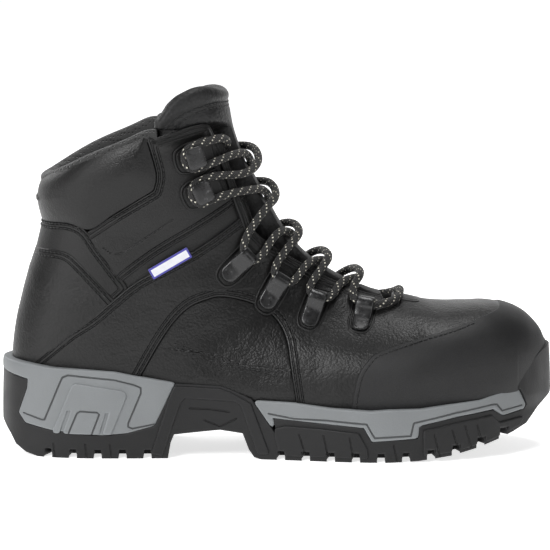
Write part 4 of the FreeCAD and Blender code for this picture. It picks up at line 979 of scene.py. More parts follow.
# ---------------------------------------------------------------- collar rim, lining and footbed


def grid_mesh(name, points, material):
    """A smooth sheet from a grid of points in millimetres."""
    return make_mesh(name, points.reshape(-1, 3), grid_numbers(*points.shape[:2])[1], material)


def rim_line():
    """The collar's top edge, from the outer front round the heel to the inner front."""
    half = spline([(-66.5, 183.4)] + COLLAR_TOP[:0:-1], 8)
    rear_x = half[-1, 0]
    sides = [side_point(half[:, 0], half[:, 1], side) for side in (OUTER, INNER)]
    turn = math.pi * np.linspace(0, 1, 10)[1:-1]
    start = sides[0][0][-1]
    back = np.stack([rear_x - 3.2 * np.sin(turn), -abs(start[1]) * np.cos(turn),
                     start[2] - 1.2 * np.sin(turn)], -1)
    back_n = unit(np.stack([-np.sin(turn) - 0.35, -1.1 * np.cos(turn), 0 * turn], -1))
    line = np.concatenate([sides[0][0], back, sides[1][0][::-1]])
    normal = np.concatenate([sides[0][1], back_n, sides[1][1][::-1]])
    for _ in range(3):
        normal[1:-1] = unit(normal[:-2] + 2 * normal[1:-1] + normal[2:])
        line[1:-1] = (line[:-2] + 2 * line[1:-1] + line[2:]) / 4
    return line, normal


rim, rim_normal = rim_line()
rim_along = unit(np.gradient(rim, axis=0))
rim_up = unit(np.cross(rim_normal, rim_along))
rim_up[rim_up[:, 2] < 0] *= -1
# Across the padded rim: lift off the form, and height over the leather's edge.
RIM_PROFILE = spline([(0.9, -4.0), (1.3, -1.2), (0.6, 0.8), (-2.2, 2.2), (-6.2, 1.8), (-9.6, -1.2),
                      (-11.2, -7.0), (-10.6, -15.0), (-8.6, -24.0), (-6.4, -34.0)], 5)
rim_points = np.stack([rim + rim_normal * a + rim_up * b for a, b in RIM_PROFILE])
rim_piece = grid_mesh("collar_rim", rim_points, air_mesh)
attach(rim_piece, "boot")

lining_line = outline(
    [(-146.0, 150.0), (-128.8, 152.5), (-105.1, 164.0), (-83.7, 172.5), (-66.0, 178.0), (-45.4, 184.0)],
    (-45.4, 184.0), [(-41.0, 183.0)] + [(x - 2.5, z - 3.5) for x, z in EYE_LINE],
    (64.0, 80.0), (66.0, 100.0), (170.0, 100.0), (170.0, 0.0), (-165.0, 0.0),
)
lining = panel("shaft_lining", upper, lining_line, 0, -3.0, -6.2, air_mesh, bevel=0.5)
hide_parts("lining_sock")


BED_REAR, BED_FRONT = -122.0, 136.0
BED_HEIGHT = 11.6              # its face over the form's bottom line
BED_CLEAR = 7.6                # from the form to its sides: leather, lining and a gap
BED_RISE = 2.6                 # how far its rim rises at the heel


def bed_grid():
    """The loose footbed's upper face, dished at the heel, with its rim turned down."""
    grid = []
    across = np.linspace(-1, 1, 41)
    for x in np.linspace(BED_REAR, BED_FRONT, 130):
        z = float(bottom_height(x)) + BED_HEIGHT
        outer, inner = (abs(side_point([x], [z], side)[0][0, 1]) - BED_CLEAR for side in (OUTER, INNER))
        end = min((x - BED_REAR) / 14.0, (BED_FRONT - x) / 22.0, 1.0)
        half = max((outer + inner) / 2, 3.0) * math.sqrt(max(1 - (1 - end) ** 2, 0.02))
        dish = np.interp(x, [BED_REAR, -40, 40, BED_FRONT], [1.0, 0.8, 0.25, 0.1])
        rise = BED_RISE * np.abs(across) ** 3 * dish
        top = np.stack([np.full(41, x), (inner - outer) / 2 + across * half, z + rise - 0.3], -1)
        grid.append(np.concatenate([top[:1] + (0, 0.1, -4.6), top[:1] + (0, -0.25, -1.0), top,
                                    top[-1:] + (0, 0.25, -1.0), top[-1:] + (0, -0.1, -4.6)]))
    return np.array(grid)


bed = grid_mesh("footbed_piece", bed_grid(), bed_cloth)
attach(bed, "footbed")
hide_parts("footbed")

# ---------------------------------------------------------------- sole unit

SOLE_OUTLINE = [
    (-155.0, -1.0), (-151.0, -18.0), (-141.0, -30.0), (-124.0, -39.0), (-103.0, -42.5), (-75.0, -42.5),
    (-45.0, -42.0), (-15.0, -44.5), (15.0, -50.0), (45.0, -56.0), (70.0, -57.0), (95.0, -53.0),
    (118.0, -43.0), (137.0, -27.0), (150.0, -9.0), (155.0, 7.0), (150.0, 25.0), (137.0, 39.0),
    (118.0, 49.0), (95.0, 54.0), (70.0, 54.0), (45.0, 50.0), (15.0, 45.0), (-15.0, 40.5),
    (-45.0, 39.0), (-75.0, 40.0), (-103.0, 40.5), (-124.0, 37.0), (-141.0, 28.0), (-151.0, 15.0),
]
WALL_STEP = 0.6
WALL_WIDEST = 22.0             # height where the wall stands out furthest
WALL_LOW = -9.0                # how deep the sole's pieces go into the wall


def sole_surface():
    """The sole's wall, with a slight belly."""
    plan = spline(SOLE_OUTLINE, 12, closed=True)
    plan = np.concatenate([plan, plan[:1]])
    reach = reach_along(plan)
    at = np.linspace(0, reach[-1], int(reach[-1] / WALL_STEP), endpoint=False)
    x, y = at_reach(at, reach, plan).T
    for _ in range(6):
        x, y = ((np.roll(v, 1) + 2 * v + np.roll(v, -1)) / 4 for v in (x, y))
    z = np.arange(-1.0, 64.0, WALL_STEP)
    out_x = np.roll(y, -1) - np.roll(y, 1)
    out_y = np.roll(x, 1) - np.roll(x, -1)
    size = np.hypot(out_x, out_y)
    inset = 1.2 * ((z - WALL_WIDEST) / 26.0) ** 2
    inset = np.where(z > WALL_WIDEST, inset * 0.5, inset)
    px = x[None] - out_x / size * inset[:, None]
    py = y[None] - out_y / size * inset[:, None]
    return Surface(np.stack([px, py, np.broadcast_to(z[:, None], px.shape)], -1))


wall = sole_surface()

HEEL_GREY = [
    (-160.0, 47.5), (-160.0, 54.0), (-140.0, 52.5), (-126.0, 51.0), (-108.0, 50.4), (-90.0, 49.2),
    (-77.0, 46.6), (-56.0, 43.0), (-67.9, 18.7), (-83.1, 14.4), (-97.8, 13.2), (-126.5, 15.6),
    (-141.0, 18.5), (-145.0, 24.0), (-140.0, 38.5), (-139.6, 43.5),
]
FRONT_GREY = [
    (-13.0, 33.6), (11.5, 32.6), (30.7, 30.2), (52.7, 29.0), (63.0, 29.8), (81.4, 30.2), (97.8, 32.2),
    (115.0, 33.8), (126.0, 37.0), (137.0, 37.2), (141.2, 28.0), (140.0, 25.6), (127.7, 23.6),
    (122.0, 27.8), (101.7, 25.2), (82.0, 21.2), (80.3, 20.0), (79.7, 13.8), (53.8, 11.8), (49.3, 19.7),
    (27.9, 21.4), (-1.4, 23.7), (0.8, 14.1),
]
SOLE_TOP = [
    (160.0, 36.0), (160.0, 61.0), (152.5, 59.0), (146.5, 55.4), (140.5, 49.6), (135.8, 42.6),
    (136.0, 38.6), (126.0, 37.4), (115.0, 33.4), (97.8, 31.8), (81.4, 29.8), (63.0, 29.4), (52.7, 28.6),
    (30.7, 29.8), (11.5, 32.2), (-13.0, 34.0), (-25.0, 39.4), (-31.0, 41.4), (-56.0, 42.6),
    (-77.0, 46.2), (-90.0, 48.8), (-108.0, 50.0), (-126.0, 50.6), (-140.0, 52.0), (-160.0, 50.0),
    (-160.0, 24.0),
]
TREAD_LINE = [(-60.5, 0.0), (62.0, 0.0), (80.0, 0.9), (98.0, 3.2), (112.0, 6.4), (124.0, 10.0),
              (134.0, 13.4), (142.0, 17.0)]
HEEL_GROOVES = [-128.0, -114.0, -100.0, -86.0, -72.0]
FRONT_GROOVES = [3.0, 17.0, 31.0, 45.0, 59.0, 73.0, 87.0, 101.0, 115.0, 128.0]
GROOVE_HALF = 2.3
GROOVE_DEPTH = 5.0


def tread_height(x):
    return float(np.interp(x, *zip(*TREAD_LINE)))


def with_grooves(points, grooves):
    """A lower edge from left to right with a notch at each groove."""
    line = []
    for (x0, z0), (x1, z1) in zip(points, points[1:]):
        line.append((x0, z0))
        for g in grooves:
            if x0 < g - GROOVE_HALF and g + GROOVE_HALF < x1:
                top = tread_height(g) + GROOVE_DEPTH
                left, right = g - GROOVE_HALF, g + GROOVE_HALF
                line += [(left - 0.3, z0 + (z1 - z0) * (left - 0.3 - x0) / (x1 - x0)), (left + 0.7, top),
                         (right - 0.7, top), (right + 0.3, z0 + (z1 - z0) * (right + 0.3 - x0) / (x1 - x0))]
    line.append(points[-1])
    return line


heel_foot = with_grooves([(-150.0, 11.0), (-146.8, 5.5), (-141.0, 1.8), (-133.9, 0.15), (-60.5, 0.15)],
                         HEEL_GROOVES)
arch_foot = [(-58.9, 9.0), (-57.0, 13.6), (-44.0, 15.2), (-31.0, 16.4), (-18.5, 14.6), (-15.0, 5.5),
             (-12.0, 1.2), (-8.0, 0.15)]
front_foot = with_grooves([(-8.0, 0.15), (62.0, 0.15), (80.0, 1.0), (98.0, 3.3), (112.0, 6.5), (124.0, 10.1),
                           (134.0, 13.5), (142.0, 17.0)], FRONT_GROOVES)
sole_line = np.array([(-160.0, 24.0)] + heel_foot + arch_foot + front_foot[1:] + [(149.0, 25.0)] + SOLE_TOP)
heel_grey, front_grey = outline(*HEEL_GREY), outline(*FRONT_GREY)

# Sipes and engraved lines on the walls.
SIPES = [[(13.2, 15.0), (17.5, 1.0)], [(26.8, 15.0), (30.0, 0.5)], [(41.4, 14.0), (44.0, 0.0)],
         [(88.8, 16.0), (92.2, 2.0)], [(98.9, 18.0), (102.9, 5.5)], [(106.2, 20.0), (109.6, 7.8)],
         [(113.0, 20.0), (115.8, 10.0)], [(66.0, 10.0), (68.0, 1.0)], [(-125.0, 8.0), (-124.0, 0.0)],
         [(-107.0, 8.0), (-106.0, 0.0)], [(-93.0, 8.0), (-92.0, 0.0)]]
WAIST_LINES = [[(-48.2, 28.6), (-37.0, 28.2), (-26.2, 26.8)], [(-40.0, 22.0), (-31.0, 18.5), (-22.0, 23.0)]]
HEEL_LINES = [
    [(-131.6, 21.4), (-129.9, 21.4), (-120.9, 43.0), (-119.5, 45.9), (-116.4, 47.2), (-90.5, 44.8),
     (-79.2, 41.9), (-75.6, 40.4), (-75.4, 37.4), (-82.6, 20.3), (-82.6, 18.2), (-80.3, 17.2),
     (-67.9, 19.7)],
    [(-142.0, 24.3), (-131.6, 21.4)],
    [(-116.4, 14.0), (-111.3, 26.0), (-109.5, 27.1), (-100.0, 26.5), (-98.8, 25.4), (-103.4, 13.4)],
]
FRONT_LINES = [[(-4.0, 26.4), (10.4, 23.9), (27.9, 23.6), (51.0, 21.9), (53.3, 17.6), (55.5, 14.2),
                (75.6, 15.4), (77.2, 22.6), (101.0, 27.6), (121.0, 30.6), (124.3, 30.6), (127.4, 26.6),
                (139.0, 28.0)]]
# The heel's raised panel, with the two slots in it and the line that it ends at.
n_panel = outline((-126.0, 13.0), (-114.6, 40.6), (-113.4, 42.2), (-111.6, 42.8), (-86.5, 38.9),
                  (-84.2, 37.8), (-83.4, 35.6), (-93.3, 11.0))
slot_cuts = [outline((-116.6, 27.1), (-115.0, 27.1), (-120.6, 11.0), (-122.4, 11.0)),
             outline((-95.2, 26.0), (-93.6, 26.0), (-98.2, 11.0), (-99.9, 11.0))]
panel_foot = outline((-170.0, 14.8), (0.0, 12.4), (0.0, 0.0), (-170.0, 0.0))


def bumper_swell(points, normals, depth):
    """The toe bumper stands out from the rest of the wall."""
    x, z = points[:, 0], points[:, 2]
    share = np.clip((x - 128.0) / 12.0, 0, 1) * np.clip((z - 24.0) / 10.0, 0, 1)
    return 1.9 * share * share * (3 - 2 * share)


sole = panel("outsole_wall", wall, {"join": [sole_line], "less": [heel_grey, front_grey]}, 0, WALL_LOW,
             0.3, rubber, bevel=0.55, lines=SIPES + WAIST_LINES, relief=bumper_swell)
grey_heel = panel("midsole_heel", wall, heel_grey, 0, WALL_LOW, 0.9, grey_foam, bevel=1.1,
                  lines=HEEL_LINES, relief=lambda p, n, d: -0.5 * np.exp(-d / 2.0))
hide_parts("midsole")
grey_front = panel("midsole_front", wall, front_grey, 0, WALL_LOW, 0.9, grey_foam, bevel=1.1,
                   lines=FRONT_LINES)
raised = panel("midsole_heel_raised", wall, {"join": [n_panel], "less": slot_cuts + [panel_foot]}, 0,
               0.6, 1.9, grey_foam, bevel=0.9, lines=[HEEL_LINES[2]])

# The waist's raised frame, and the lugs' raised faces.
frame_line = outline((-57.6, 41.4), (-70.0, 3.0), (-63.6, 1.4), (-53.2, 32.0), (-51.0, 34.2), (-22.5, 32.6),
                     (-19.6, 30.6), (-9.8, 3.0), (-3.0, 3.0), (-13.6, 31.8), (-25.0, 38.0), (-31.0, 40.0))
waist = panel("outsole_waist_frame", wall, {"join": [frame_line], "less": [heel_grey, front_grey]}, 0, 0.0,
              1.3, rubber, bevel=0.7)
lug_faces = [
    outline((2.9, 2.5), (-0.5, 13.0), (-0.3, 18.4), (5.9, 19.8), (28.0, 18.6), (46.6, 16.8), (51.4, 8.0),
            (52.0, 2.5)),
    outline((82.4, 3.6), (82.4, 18.4), (102.0, 22.2), (121.2, 24.8), (125.4, 20.2), (140.0, 21.8),
            (137.0, 16.6), (120.5, 10.6), (100.0, 5.6)),
]
notches = []
for at in FRONT_GROOVES:
    low, high = -5.0, tread_height(at) + GROOVE_DEPTH + 0.6
    left, right = at - GROOVE_HALF, at + GROOVE_HALF
    notches.append(outline((left, low), (right, low), (right, high), (left, high)))
lugs = panel("outsole_lug_faces", wall, {"join": lug_faces, "less": notches}, 0, 0.0, 1.5, rubber, bevel=0.7,
             lines=SIPES)

# ---------------------------------------------------------------- lace hardware

LOOP_ROWS = [(9.3, 27.0), (7.7, 27.5), (5.95, 28.5), (4.5, 31.0)]       # station, sideways place
HOOK_ROWS = [(2.18, 34.5), (1.28, 35.5)]
PLATE_LIFT = 2.0
LACE_HIGH = 3.7
LOOP_CENTRE = 5.5
LACE_RADIUS = 2.25


def site(u, y):
    """A frame on the facing: x along it, y towards the gap, z outward."""
    point, normal = skin(u, y, PLATE_LIFT)
    rows = stations(np.array([u + 0.5, u - 0.5]))
    facing = np.array([rows[1, 0] - rows[0, 0], 0.0, rows[1, 1] - rows[0, 1]])
    across = unit(facing - normal * (facing @ normal))
    if y < 0:
        across = -across
    return point, np.stack([across, np.cross(normal, across), normal], -1)


def local(place, points):
    origin, turn = place
    return origin + np.asarray(points, float) @ turn.T


def fold(path, half_width, thickness, start_round):
    """A bent sheet strap: a smooth path in (y, z), swept across x, with rounded edges and a round start."""
    line = spline(path, 6)
    along = unit(np.gradient(line, axis=0))
    up = np.stack([-along[:, 1], along[:, 0]], -1)
    t = thickness / 2
    profile = [(-1, 0.0), (-0.95, 0.7), (-0.82, 1.0), (-0.4, 1.06), (0.4, 1.06), (0.82, 1.0), (0.95, 0.7),
               (1, 0.0), (0.95, -0.7), (0.82, -1.0), (-0.82, -1.0), (-0.95, -0.7)]
    rings = []
    for p, n, r in zip(line, up, reach_along(line)):
        end = 1 - min(r / start_round, 1.0)
        w = half_width * math.sqrt(max(1 - end ** 2.6, 0.03))
        rings.append([(a * w, p[0] + n[0] * b * t, p[1] + n[1] * b * t) for a, b in profile])
    index, faces = grid_numbers(len(rings), len(profile), cyclic=True)
    return (np.array(rings).reshape(-1, 3),
            faces[:, [0, 3, 2, 1]].tolist() + [index[0].tolist(), index[-1, ::-1].tolist()])


def rounded(x0, y0, x1, y1, radius, steps=6, inset=0.0):
    """A rectangle with round corners, as points going round it, drawn in by an inset."""
    x0, y0, x1, y1 = x0 + inset, y0 + inset, x1 - inset, y1 - inset
    radius = max(radius - inset, 0.1)
    points = []
    for cx, cy, start in ((x1 - radius, y1 - radius, 0), (x0 + radius, y1 - radius, 90),
                          (x0 + radius, y0 + radius, 180), (x1 - radius, y0 + radius, 270)):
        for k in range(steps + 1):
            a = math.radians(start + 90 * k / steps)
            points.append((cx + radius * math.cos(a), cy + radius * math.sin(a)))
    return np.array(points)


def plate(size, low, high, bevel, dome=0.0, insets=()):
    """A flat plate with rounded edges and a slightly domed face; also each point's edge distance.

    size is the arguments of rounded.
    """
    levels = [(bevel * 0.6, low), (0.0, low + bevel * 0.6), (0.0, high - bevel),
              (bevel * 0.3, high - bevel * 0.3), (bevel, high)]
    levels += [(inset, high) for inset in insets]
    rings, depth = [], []
    for inset, z in levels:
        flat = rounded(*size, inset=inset)
        rings.append(np.column_stack([flat, np.full(len(flat), z)]))
        depth.append(np.full(len(flat), inset))
    middle = flat.mean(0)
    for share in (0.75, 0.5, 0.25):
        inner = middle + (flat - middle) * share
        rings.append(np.column_stack([inner, np.full(len(flat), high + dome * (1 - share ** 2))]))
        depth.append(np.full(len(flat), 5.0))
    index, faces = grid_numbers(len(rings), len(flat), cyclic=True)
    faces = faces.tolist() + [index[0, ::-1].tolist(), index[-1].tolist()]
    return np.concatenate(rings), faces, np.concatenate(depth)


def placed(name, place, parts, material, data=None):
    """One piece of the boot from several (points, faces) in a site's frame."""
    points, faces, start = [], [], 0
    for item in parts:
        points.append(local(place, item[0]))
        faces += [[i + start for i in f] for f in item[1]]
        start += len(item[0])
    made = make_mesh(name, np.concatenate(points), faces, material, data)
    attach(made, "boot")
    return made


LOOP_PATH = [(-12.0, 0.6), (-9.0, 0.9), (-6.0, 1.35), (-2.5, 2.1), (0.6, 4.2), (2.6, 6.2), (5.4, 7.1),
             (8.0, 6.0), (9.0, 3.8), (8.2, 1.5), (6.0, 0.55), (2.0, 0.5), (-4.0, 0.45)]
LOOP_SHEET = (4.9, 1.1, 5.0)   # half width, thickness, and length of the rounded start
for name, side in (("outer", OUTER), ("inner", INNER)):
    for number, (u, y) in enumerate(LOOP_ROWS, start=1):
        place = site(u, side * y)
        loop = placed("loop_%s_%d" % (name, number), place, [fold(LOOP_PATH, *LOOP_SHEET)], black_metal)
        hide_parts("lace_loop_%s_%d" % (name, number))
    for number, (u, y) in enumerate(HOOK_ROWS, start=1):
        place = site(u, side * y)
        base = plate((-5.6, -8.6, 5.6, 5.0, 3.2), 0.1, 1.2, 0.35)
        neck = plate((-3.2, -4.9, 3.2, 1.2, 1.2), 0.6, 6.4, 0.3)
        top = plate((-6.2, -8.0, 6.2, 3.2, 2.9), 6.2, 7.5, 0.5, dome=0.35)
        hook = placed("hook_%s_%d" % (name, number), place, [base, neck, top], black_metal)
        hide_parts("lace_hook_%s_%d" % (name, number))

# ---------------------------------------------------------------- lace

CROSSINGS = [7.4, 5.75, 4.2, 2.85, 1.85]       # station of each crossing, from the throat upwards
OVER = 8.8                     # lift of the upper strand's centre over the form, where two cross
UNDER = 3.5                    # and of the lower strand's
EDGE_LIFT = 5.3                # and of both, over the facings' edges
CROSS_HALF = 7.0               # sideways place where a strand starts to pass the other
EDGE_SHARE = 0.55              # sideways place of its bend at the edge, as a share of the loop's
CROSS_TILT = 0.18              # how far a strand climbs to those two places, in stations
EDGE_TILT = 0.3
LOOP_TURN = 7.2                # where the lace turns, along the facing from a loop's middle
HOOK_TURN = 6.4                # and from a hook's
# Station, sideways place and lift of the strand across the throat, and of each end down inside the shaft.
THROAT_BAR = [(9.9, 17.0, 4.8), (9.75, 6.0, 4.8)]
TAIL = [(4.9, 31.0, -8.9), (4.0, 32.0, -8.9), (3.1, 32.0, -8.9), (2.3, 30.5, -8.9), (1.6, 25.5, -9.0),
        (1.42, 20.5, -5.2), (1.27, 19.0, 1.5), (1.05, 25.0, EDGE_LIFT)]


def on_skin(u, y, lift):
    return skin(u, y, lift)[0]


def through(row, side):
    """Route points at a loop or hook, going up."""
    if row < len(LOOP_ROWS):
        u, y = LOOP_ROWS[row]
        spots = [(x, LOOP_CENTRE, LACE_HIGH) for x in (-LOOP_TURN, LOOP_TURN)]
    else:
        u, y = HOOK_ROWS[row - len(LOOP_ROWS)]
        spots = [(x, y0, LACE_HIGH) for x, y0 in ((-HOOK_TURN, 7.0), (-HOOK_TURN, -8.0),
                                                  (HOOK_TURN, -8.0), (HOOK_TURN, 7.0))]
    points = list(local(site(u, side * y), spots))
    return points[::-1] if points[0][2] > points[-1][2] else points


def crossing(number, side):
    """Route points of a strand that climbs from one side to the next row opposite."""
    u = CROSSINGS[number]
    sides = [row[1] for row in LOOP_ROWS + HOOK_ROWS]
    lift = OVER if side < 0 else UNDER
    return [on_skin(u + EDGE_TILT, side * EDGE_SHARE * sides[number], EDGE_LIFT),
            on_skin(u + CROSS_TILT, side * CROSS_HALF, lift),
            on_skin(u - CROSS_TILT, -side * CROSS_HALF, lift),
            on_skin(u - EDGE_TILT, -side * EDGE_SHARE * sides[number + 1], EDGE_LIFT)]


def climb(side):
    """The strand that leaves the throat bar on one side, up to its tail."""
    points = []
    for row in range(len(LOOP_ROWS) + len(HOOK_ROWS)):
        points += through(row, side)
        if row < len(CROSSINGS):
            points += crossing(row, side)
            side = -side
    return points + [on_skin(u, side * y, lift) for u, y, lift in reversed(TAIL)]


bar = [on_skin(u, -y, lift) for u, y, lift in THROAT_BAR]
bar += [on_skin(u, y, lift) for u, y, lift in reversed(THROAT_BAR)]
route = np.array(climb(OUTER)[::-1] + bar + climb(INNER)) * MM

curve = bpy.data.curves.new("lace_route", "CURVE")
curve.dimensions = "3D"
curve.resolution_u = 16
strand = curve.splines.new("NURBS")
strand.points.add(len(route) - 1)
for point, spot in zip(strand.points, route):
    point.co = (*spot, 1.0)
strand.order_u = 3
strand.use_endpoint_u = True
route_object = bpy.data.objects.new("lace_route", curve)
bpy.context.scene.collection.objects.link(route_object)
bpy.context.view_layer.update()
read = bpy.data.meshes.new_from_object(route_object)
followed = np.array([v.co for v in read.vertices])
bpy.data.objects.remove(route_object)
bpy.data.meshes.remove(read)
bpy.data.curves.remove(curve)

RING_STEP = 0.0006
LACE_SIDES = 16
lace_reach = reach_along(followed)
lace_at = np.linspace(0, lace_reach[-1], int(lace_reach[-1] / RING_STEP))
centres = at_reach(lace_at, lace_reach, followed)


def tube(centres, at, radius, sides):
    """A braided tube round a line of centres, in metres, with "along" and "around" attributes."""
    ahead = unit(np.gradient(centres, axis=0))
    side_way = np.zeros_like(centres)
    way = np.cross(ahead[0], (0.0, 0.0, 1.0))
    for i, a in enumerate(ahead):
        way = unit(way - a * (way @ a))
        side_way[i] = way
    up = np.cross(ahead, side_way)
    turn = np.linspace(0, 2 * math.pi, sides + 1)
    along = np.repeat(at[:, None] / MM, sides + 1, axis=1)
    around = np.repeat(turn[None] / (2 * math.pi), len(at), axis=0)
    braid_a = np.sin(2 * math.pi * (BRAID_STRANDS * around + along / BRAID_PITCH))
    braid_b = np.sin(2 * math.pi * (BRAID_STRANDS * around - along / BRAID_PITCH))
    r = radius * (0.97 + 0.07 * np.abs(braid_a * braid_b))
    points = centres[:, None] + (side_way[:, None] * np.cos(turn)[None, :, None]
                                 + up[:, None] * np.sin(turn)[None, :, None]) * r[..., None]
    faces = grid_numbers(*points.shape[:2])[1]
    return points.reshape(-1, 3), faces, {"along": along.ravel(), "around": around.ravel()}


lace_points, lace_faces, lace_data = tube(centres, lace_at, LACE_RADIUS * MM, LACE_SIDES)
lace = make_mesh("lace_piece", lace_points / MM, lace_faces, lace_braid, lace_data)
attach(lace, "boot")
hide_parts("lace")

# ---------------------------------------------------------------- facings, patch and label

# Half the edge of the facing's lobe under a loop and under a hook, in a site's frame.
LOOP_LOBE = [(7.6, 12.0), (7.6, 0.0), (7.4, -8.0), (6.0, -13.2), (2.8, -16.0)]
HOOK_LOBE = [(8.4, 12.0), (8.6, 0.0), (8.6, -6.0), (6.8, -11.6), (3.0, -13.6)]


def lobes(rows, side, half):
    """Outlines of the lobes at rows of loops or hooks, as seen from the side."""
    ring = [(-x, y, 0.0) for x, y in half] + [(x, y, 0.0) for x, y in half[::-1]]
    return [spline(local(site(u, side * y), ring)[:, [0, 2]], 6) for u, y in rows]


facing_strip = outline(
    [(-31.0, 181.5), (-28.5, 168.0), (-22.8, 151.0), (-17.2, 136.5), (-12.7, 126.5), (-0.8, 116.2),
     (18.9, 103.4), (33.0, 96.0), (47.6, 90.0), (60.0, 86.4)],
    (60.0, 86.4),
    [(61.5, 83.0), (46.2, 86.2), (31.0, 92.4), (16.6, 99.6), (-3.4, 112.6), (-16.2, 124.4), (-21.0, 135.4),
     (-26.4, 149.6), (-32.2, 167.0), (-38.0, 180.5)], (-38.0, 180.5),
)
for name, side in (("outer", OUTER), ("inner", INNER)):
    shapes = [facing_strip] + lobes(LOOP_ROWS, side, LOOP_LOBE) + lobes(HOOK_ROWS, side, HOOK_LOBE)
    facing = panel("facing_" + name, upper, {"join": shapes}, side, PANEL_LOW, QUARTER_TOP + 0.6,
                   smooth_row, bevel=0.5)
    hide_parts("lace_facing_" + name)


PATCH_MIDDLE, PATCH_HALF = 10.15, 0.66         # in stations, along the ridge
PATCH_HALF_WIDTH = 11.0
# Rings from the patch's edge to its middle: how far in, as a share, and lift off the form.
PATCH_RINGS = [(0.0, 0.2), (0.0, 1.5), (0.02, 1.95), (0.06, 2.15), (0.16, 2.15), (0.34, 2.2), (0.6, 2.3),
               (0.85, 2.35)]


def patch_mesh():
    """The throat patch, bent over the form's ridge, and its points' distances from its edge."""
    shape = rounded(-1.0, -1.0, 1.0, 1.0, 0.35, 5)
    rings, depth = [], []
    for inset, lift in PATCH_RINGS:
        flat = shape * (1 - inset)
        u = PATCH_MIDDLE + flat[:, 0] * PATCH_HALF
        rings.append(on_skin(u, flat[:, 1] * PATCH_HALF_WIDTH, np.full(len(u), lift)))
        depth.append(np.full(len(u), inset * PATCH_HALF_WIDTH))
    index, faces = grid_numbers(len(rings), len(shape), cyclic=True)
    return np.concatenate(rings), faces.tolist() + [index[-1].tolist()], np.concatenate(depth)


patch_points, patch_faces, patch_depth = patch_mesh()
patch = make_mesh("throat_patch_piece", patch_points, patch_faces, smooth_row,
                  {"edge": patch_depth, "line": np.full(len(patch_depth), NO_LINE)})
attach(patch, "boot")
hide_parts("throat_patch")

label_point, label_normal = skin(3.93, -37.6, 2.0)
LABEL_RISE = math.radians(30.0)
label_along = np.array([math.cos(LABEL_RISE), 0.0, math.sin(LABEL_RISE)])
label_along = unit(label_along - label_normal * (label_along @ label_normal))
label_place = (label_point, np.stack([label_along, np.cross(label_normal, label_along), label_normal], -1))
label_shape = plate((-12.5, -3.2, 12.5, 3.2, 0.6), -0.6, 0.9, 0.25, insets=(0.8, 1.0, 1.2))
label = placed("side_label_piece", label_place, [label_shape], weave, {"edge": label_shape[2]})
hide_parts("side_label")

# ---------------------------------------------------------------- tongue

GAP_HALF = [31.0, 25.9, 23.2, 23.6, 20.6, 15.5, 13.4, 11.8, 12.1, 11.2]     # at whole stations
# Station and lift along the tongue's middle and along its sides.
CROWN = [(-0.5, 1.2), (0.4, 1.0), (1.0, 0.2), (4.0, -0.2), (6.0, -1.4), (8.9, -1.6)]
WING = [(-0.5, -1.6), (0.3, -2.0), (0.6, -3.6), (0.85, -8.5), (1.1, -11.6), (5.0, -12.0), (7.0, -9.2),
        (8.9, -9.0)]
PADS = [(2.36, 0.34), (3.52, 0.48), (4.97, 0.55), (6.57, 0.6), (8.25, 0.6)]     # station, half height
PAD_RISE = 1.5
TONGUE_HALF = 3.6              # half the tongue's thickness
TONGUE_TOP = -0.12
TONGUE_ROWS = (7.6, 10.2)      # stitch rows, from the tongue's top edge
TOP_ROUND, SIDE_ROUND = 4.5, 3.0       # how far in from its borders it has its whole thickness


def smooth(x, a, b):
    t = np.clip((x - a) / (b - a), 0, 1)
    return t * t * (3 - 2 * t)


def tongue_grid():
    """Station and sideways angle over the tongue, and each row's station before its top edge is shaped."""
    fine_top = TONGUE_TOP + np.array([0.0, 0.004, 0.012, 0.026, 0.05, 0.08, 0.12, 0.17])
    us = np.concatenate([fine_top, np.arange(TONGUE_TOP + 0.22, 8.86, 0.05), [8.88, 8.9]])
    s = np.sin(np.linspace(-1, 1, 121) * math.pi / 2)
    u, s = np.meshgrid(us, s, indexing="ij")
    top = smooth(u, 0.8, 0.2)
    rows = stations(u)
    reach = 19.0 + 15.0 * np.clip((9.6 - u) / 9.0, 0, 1)
    low_phi = np.arcsin(np.clip(reach / rows[..., 5], 0, 0.98) ** (rows[..., 8] / 2))
    phi_end = low_phi + (math.radians(78.0) - low_phi) * top
    phi = s * phi_end
    rise = -0.14 * np.sin(math.pi * np.clip(np.abs(s) / 0.9, 0, 1)) + 0.2 * smooth(np.abs(s), 0.75, 1.0)
    rise = rise - 0.26 * smooth(np.abs(s), 0.15, 0.65) + 0.2 * smooth(np.abs(s), 0.86, 1.0)
    rise = rise + 0.3 * smooth(s, 0.1, 0.7)
    u = u + rise * smooth(u, 1.0, TONGUE_TOP)
    return u, phi, us


tongue_u, tongue_phi, tongue_rows = tongue_grid()
tongue_phi = np.where(np.abs(tongue_phi) < 1e-4, 1e-4, tongue_phi)
tongue_base = form_points(tongue_u, tongue_phi)
tongue_out = form_normals(tongue_u, tongue_phi)
aside = np.abs(tongue_base[..., 1])
gap_here = np.interp(tongue_u, np.arange(10), GAP_HALF)
crown_end = np.minimum(8.0, gap_here - 5.0)
slope_end = np.minimum(14.0, gap_here + 1.0)
wide_top = smooth(tongue_u, 0.95, 0.55)
crown_end = crown_end + (24.0 - crown_end) * wide_top
slope_end = slope_end + (40.0 - slope_end) * wide_top
crown_lift = np.interp(tongue_u, *zip(*CROWN))
wing_lift = np.interp(tongue_u, *zip(*WING))
tongue_lift = crown_lift + (wing_lift - crown_lift) * smooth(aside, crown_end, slope_end)
pad_depth = np.full(tongue_u.shape, -9.0)
for at, half in PADS:
    wide = np.minimum(9.6, np.interp(at, np.arange(10), GAP_HALF) - 3.0)
    tall = 10.5 * half / 0.5
    d = np.minimum(tall * (1 - np.abs(tongue_u - at) / half), wide - aside)
    pad_depth = np.maximum(pad_depth, d)
tongue_lift = tongue_lift + PAD_RISE * smooth(pad_depth, -0.4, 1.8)
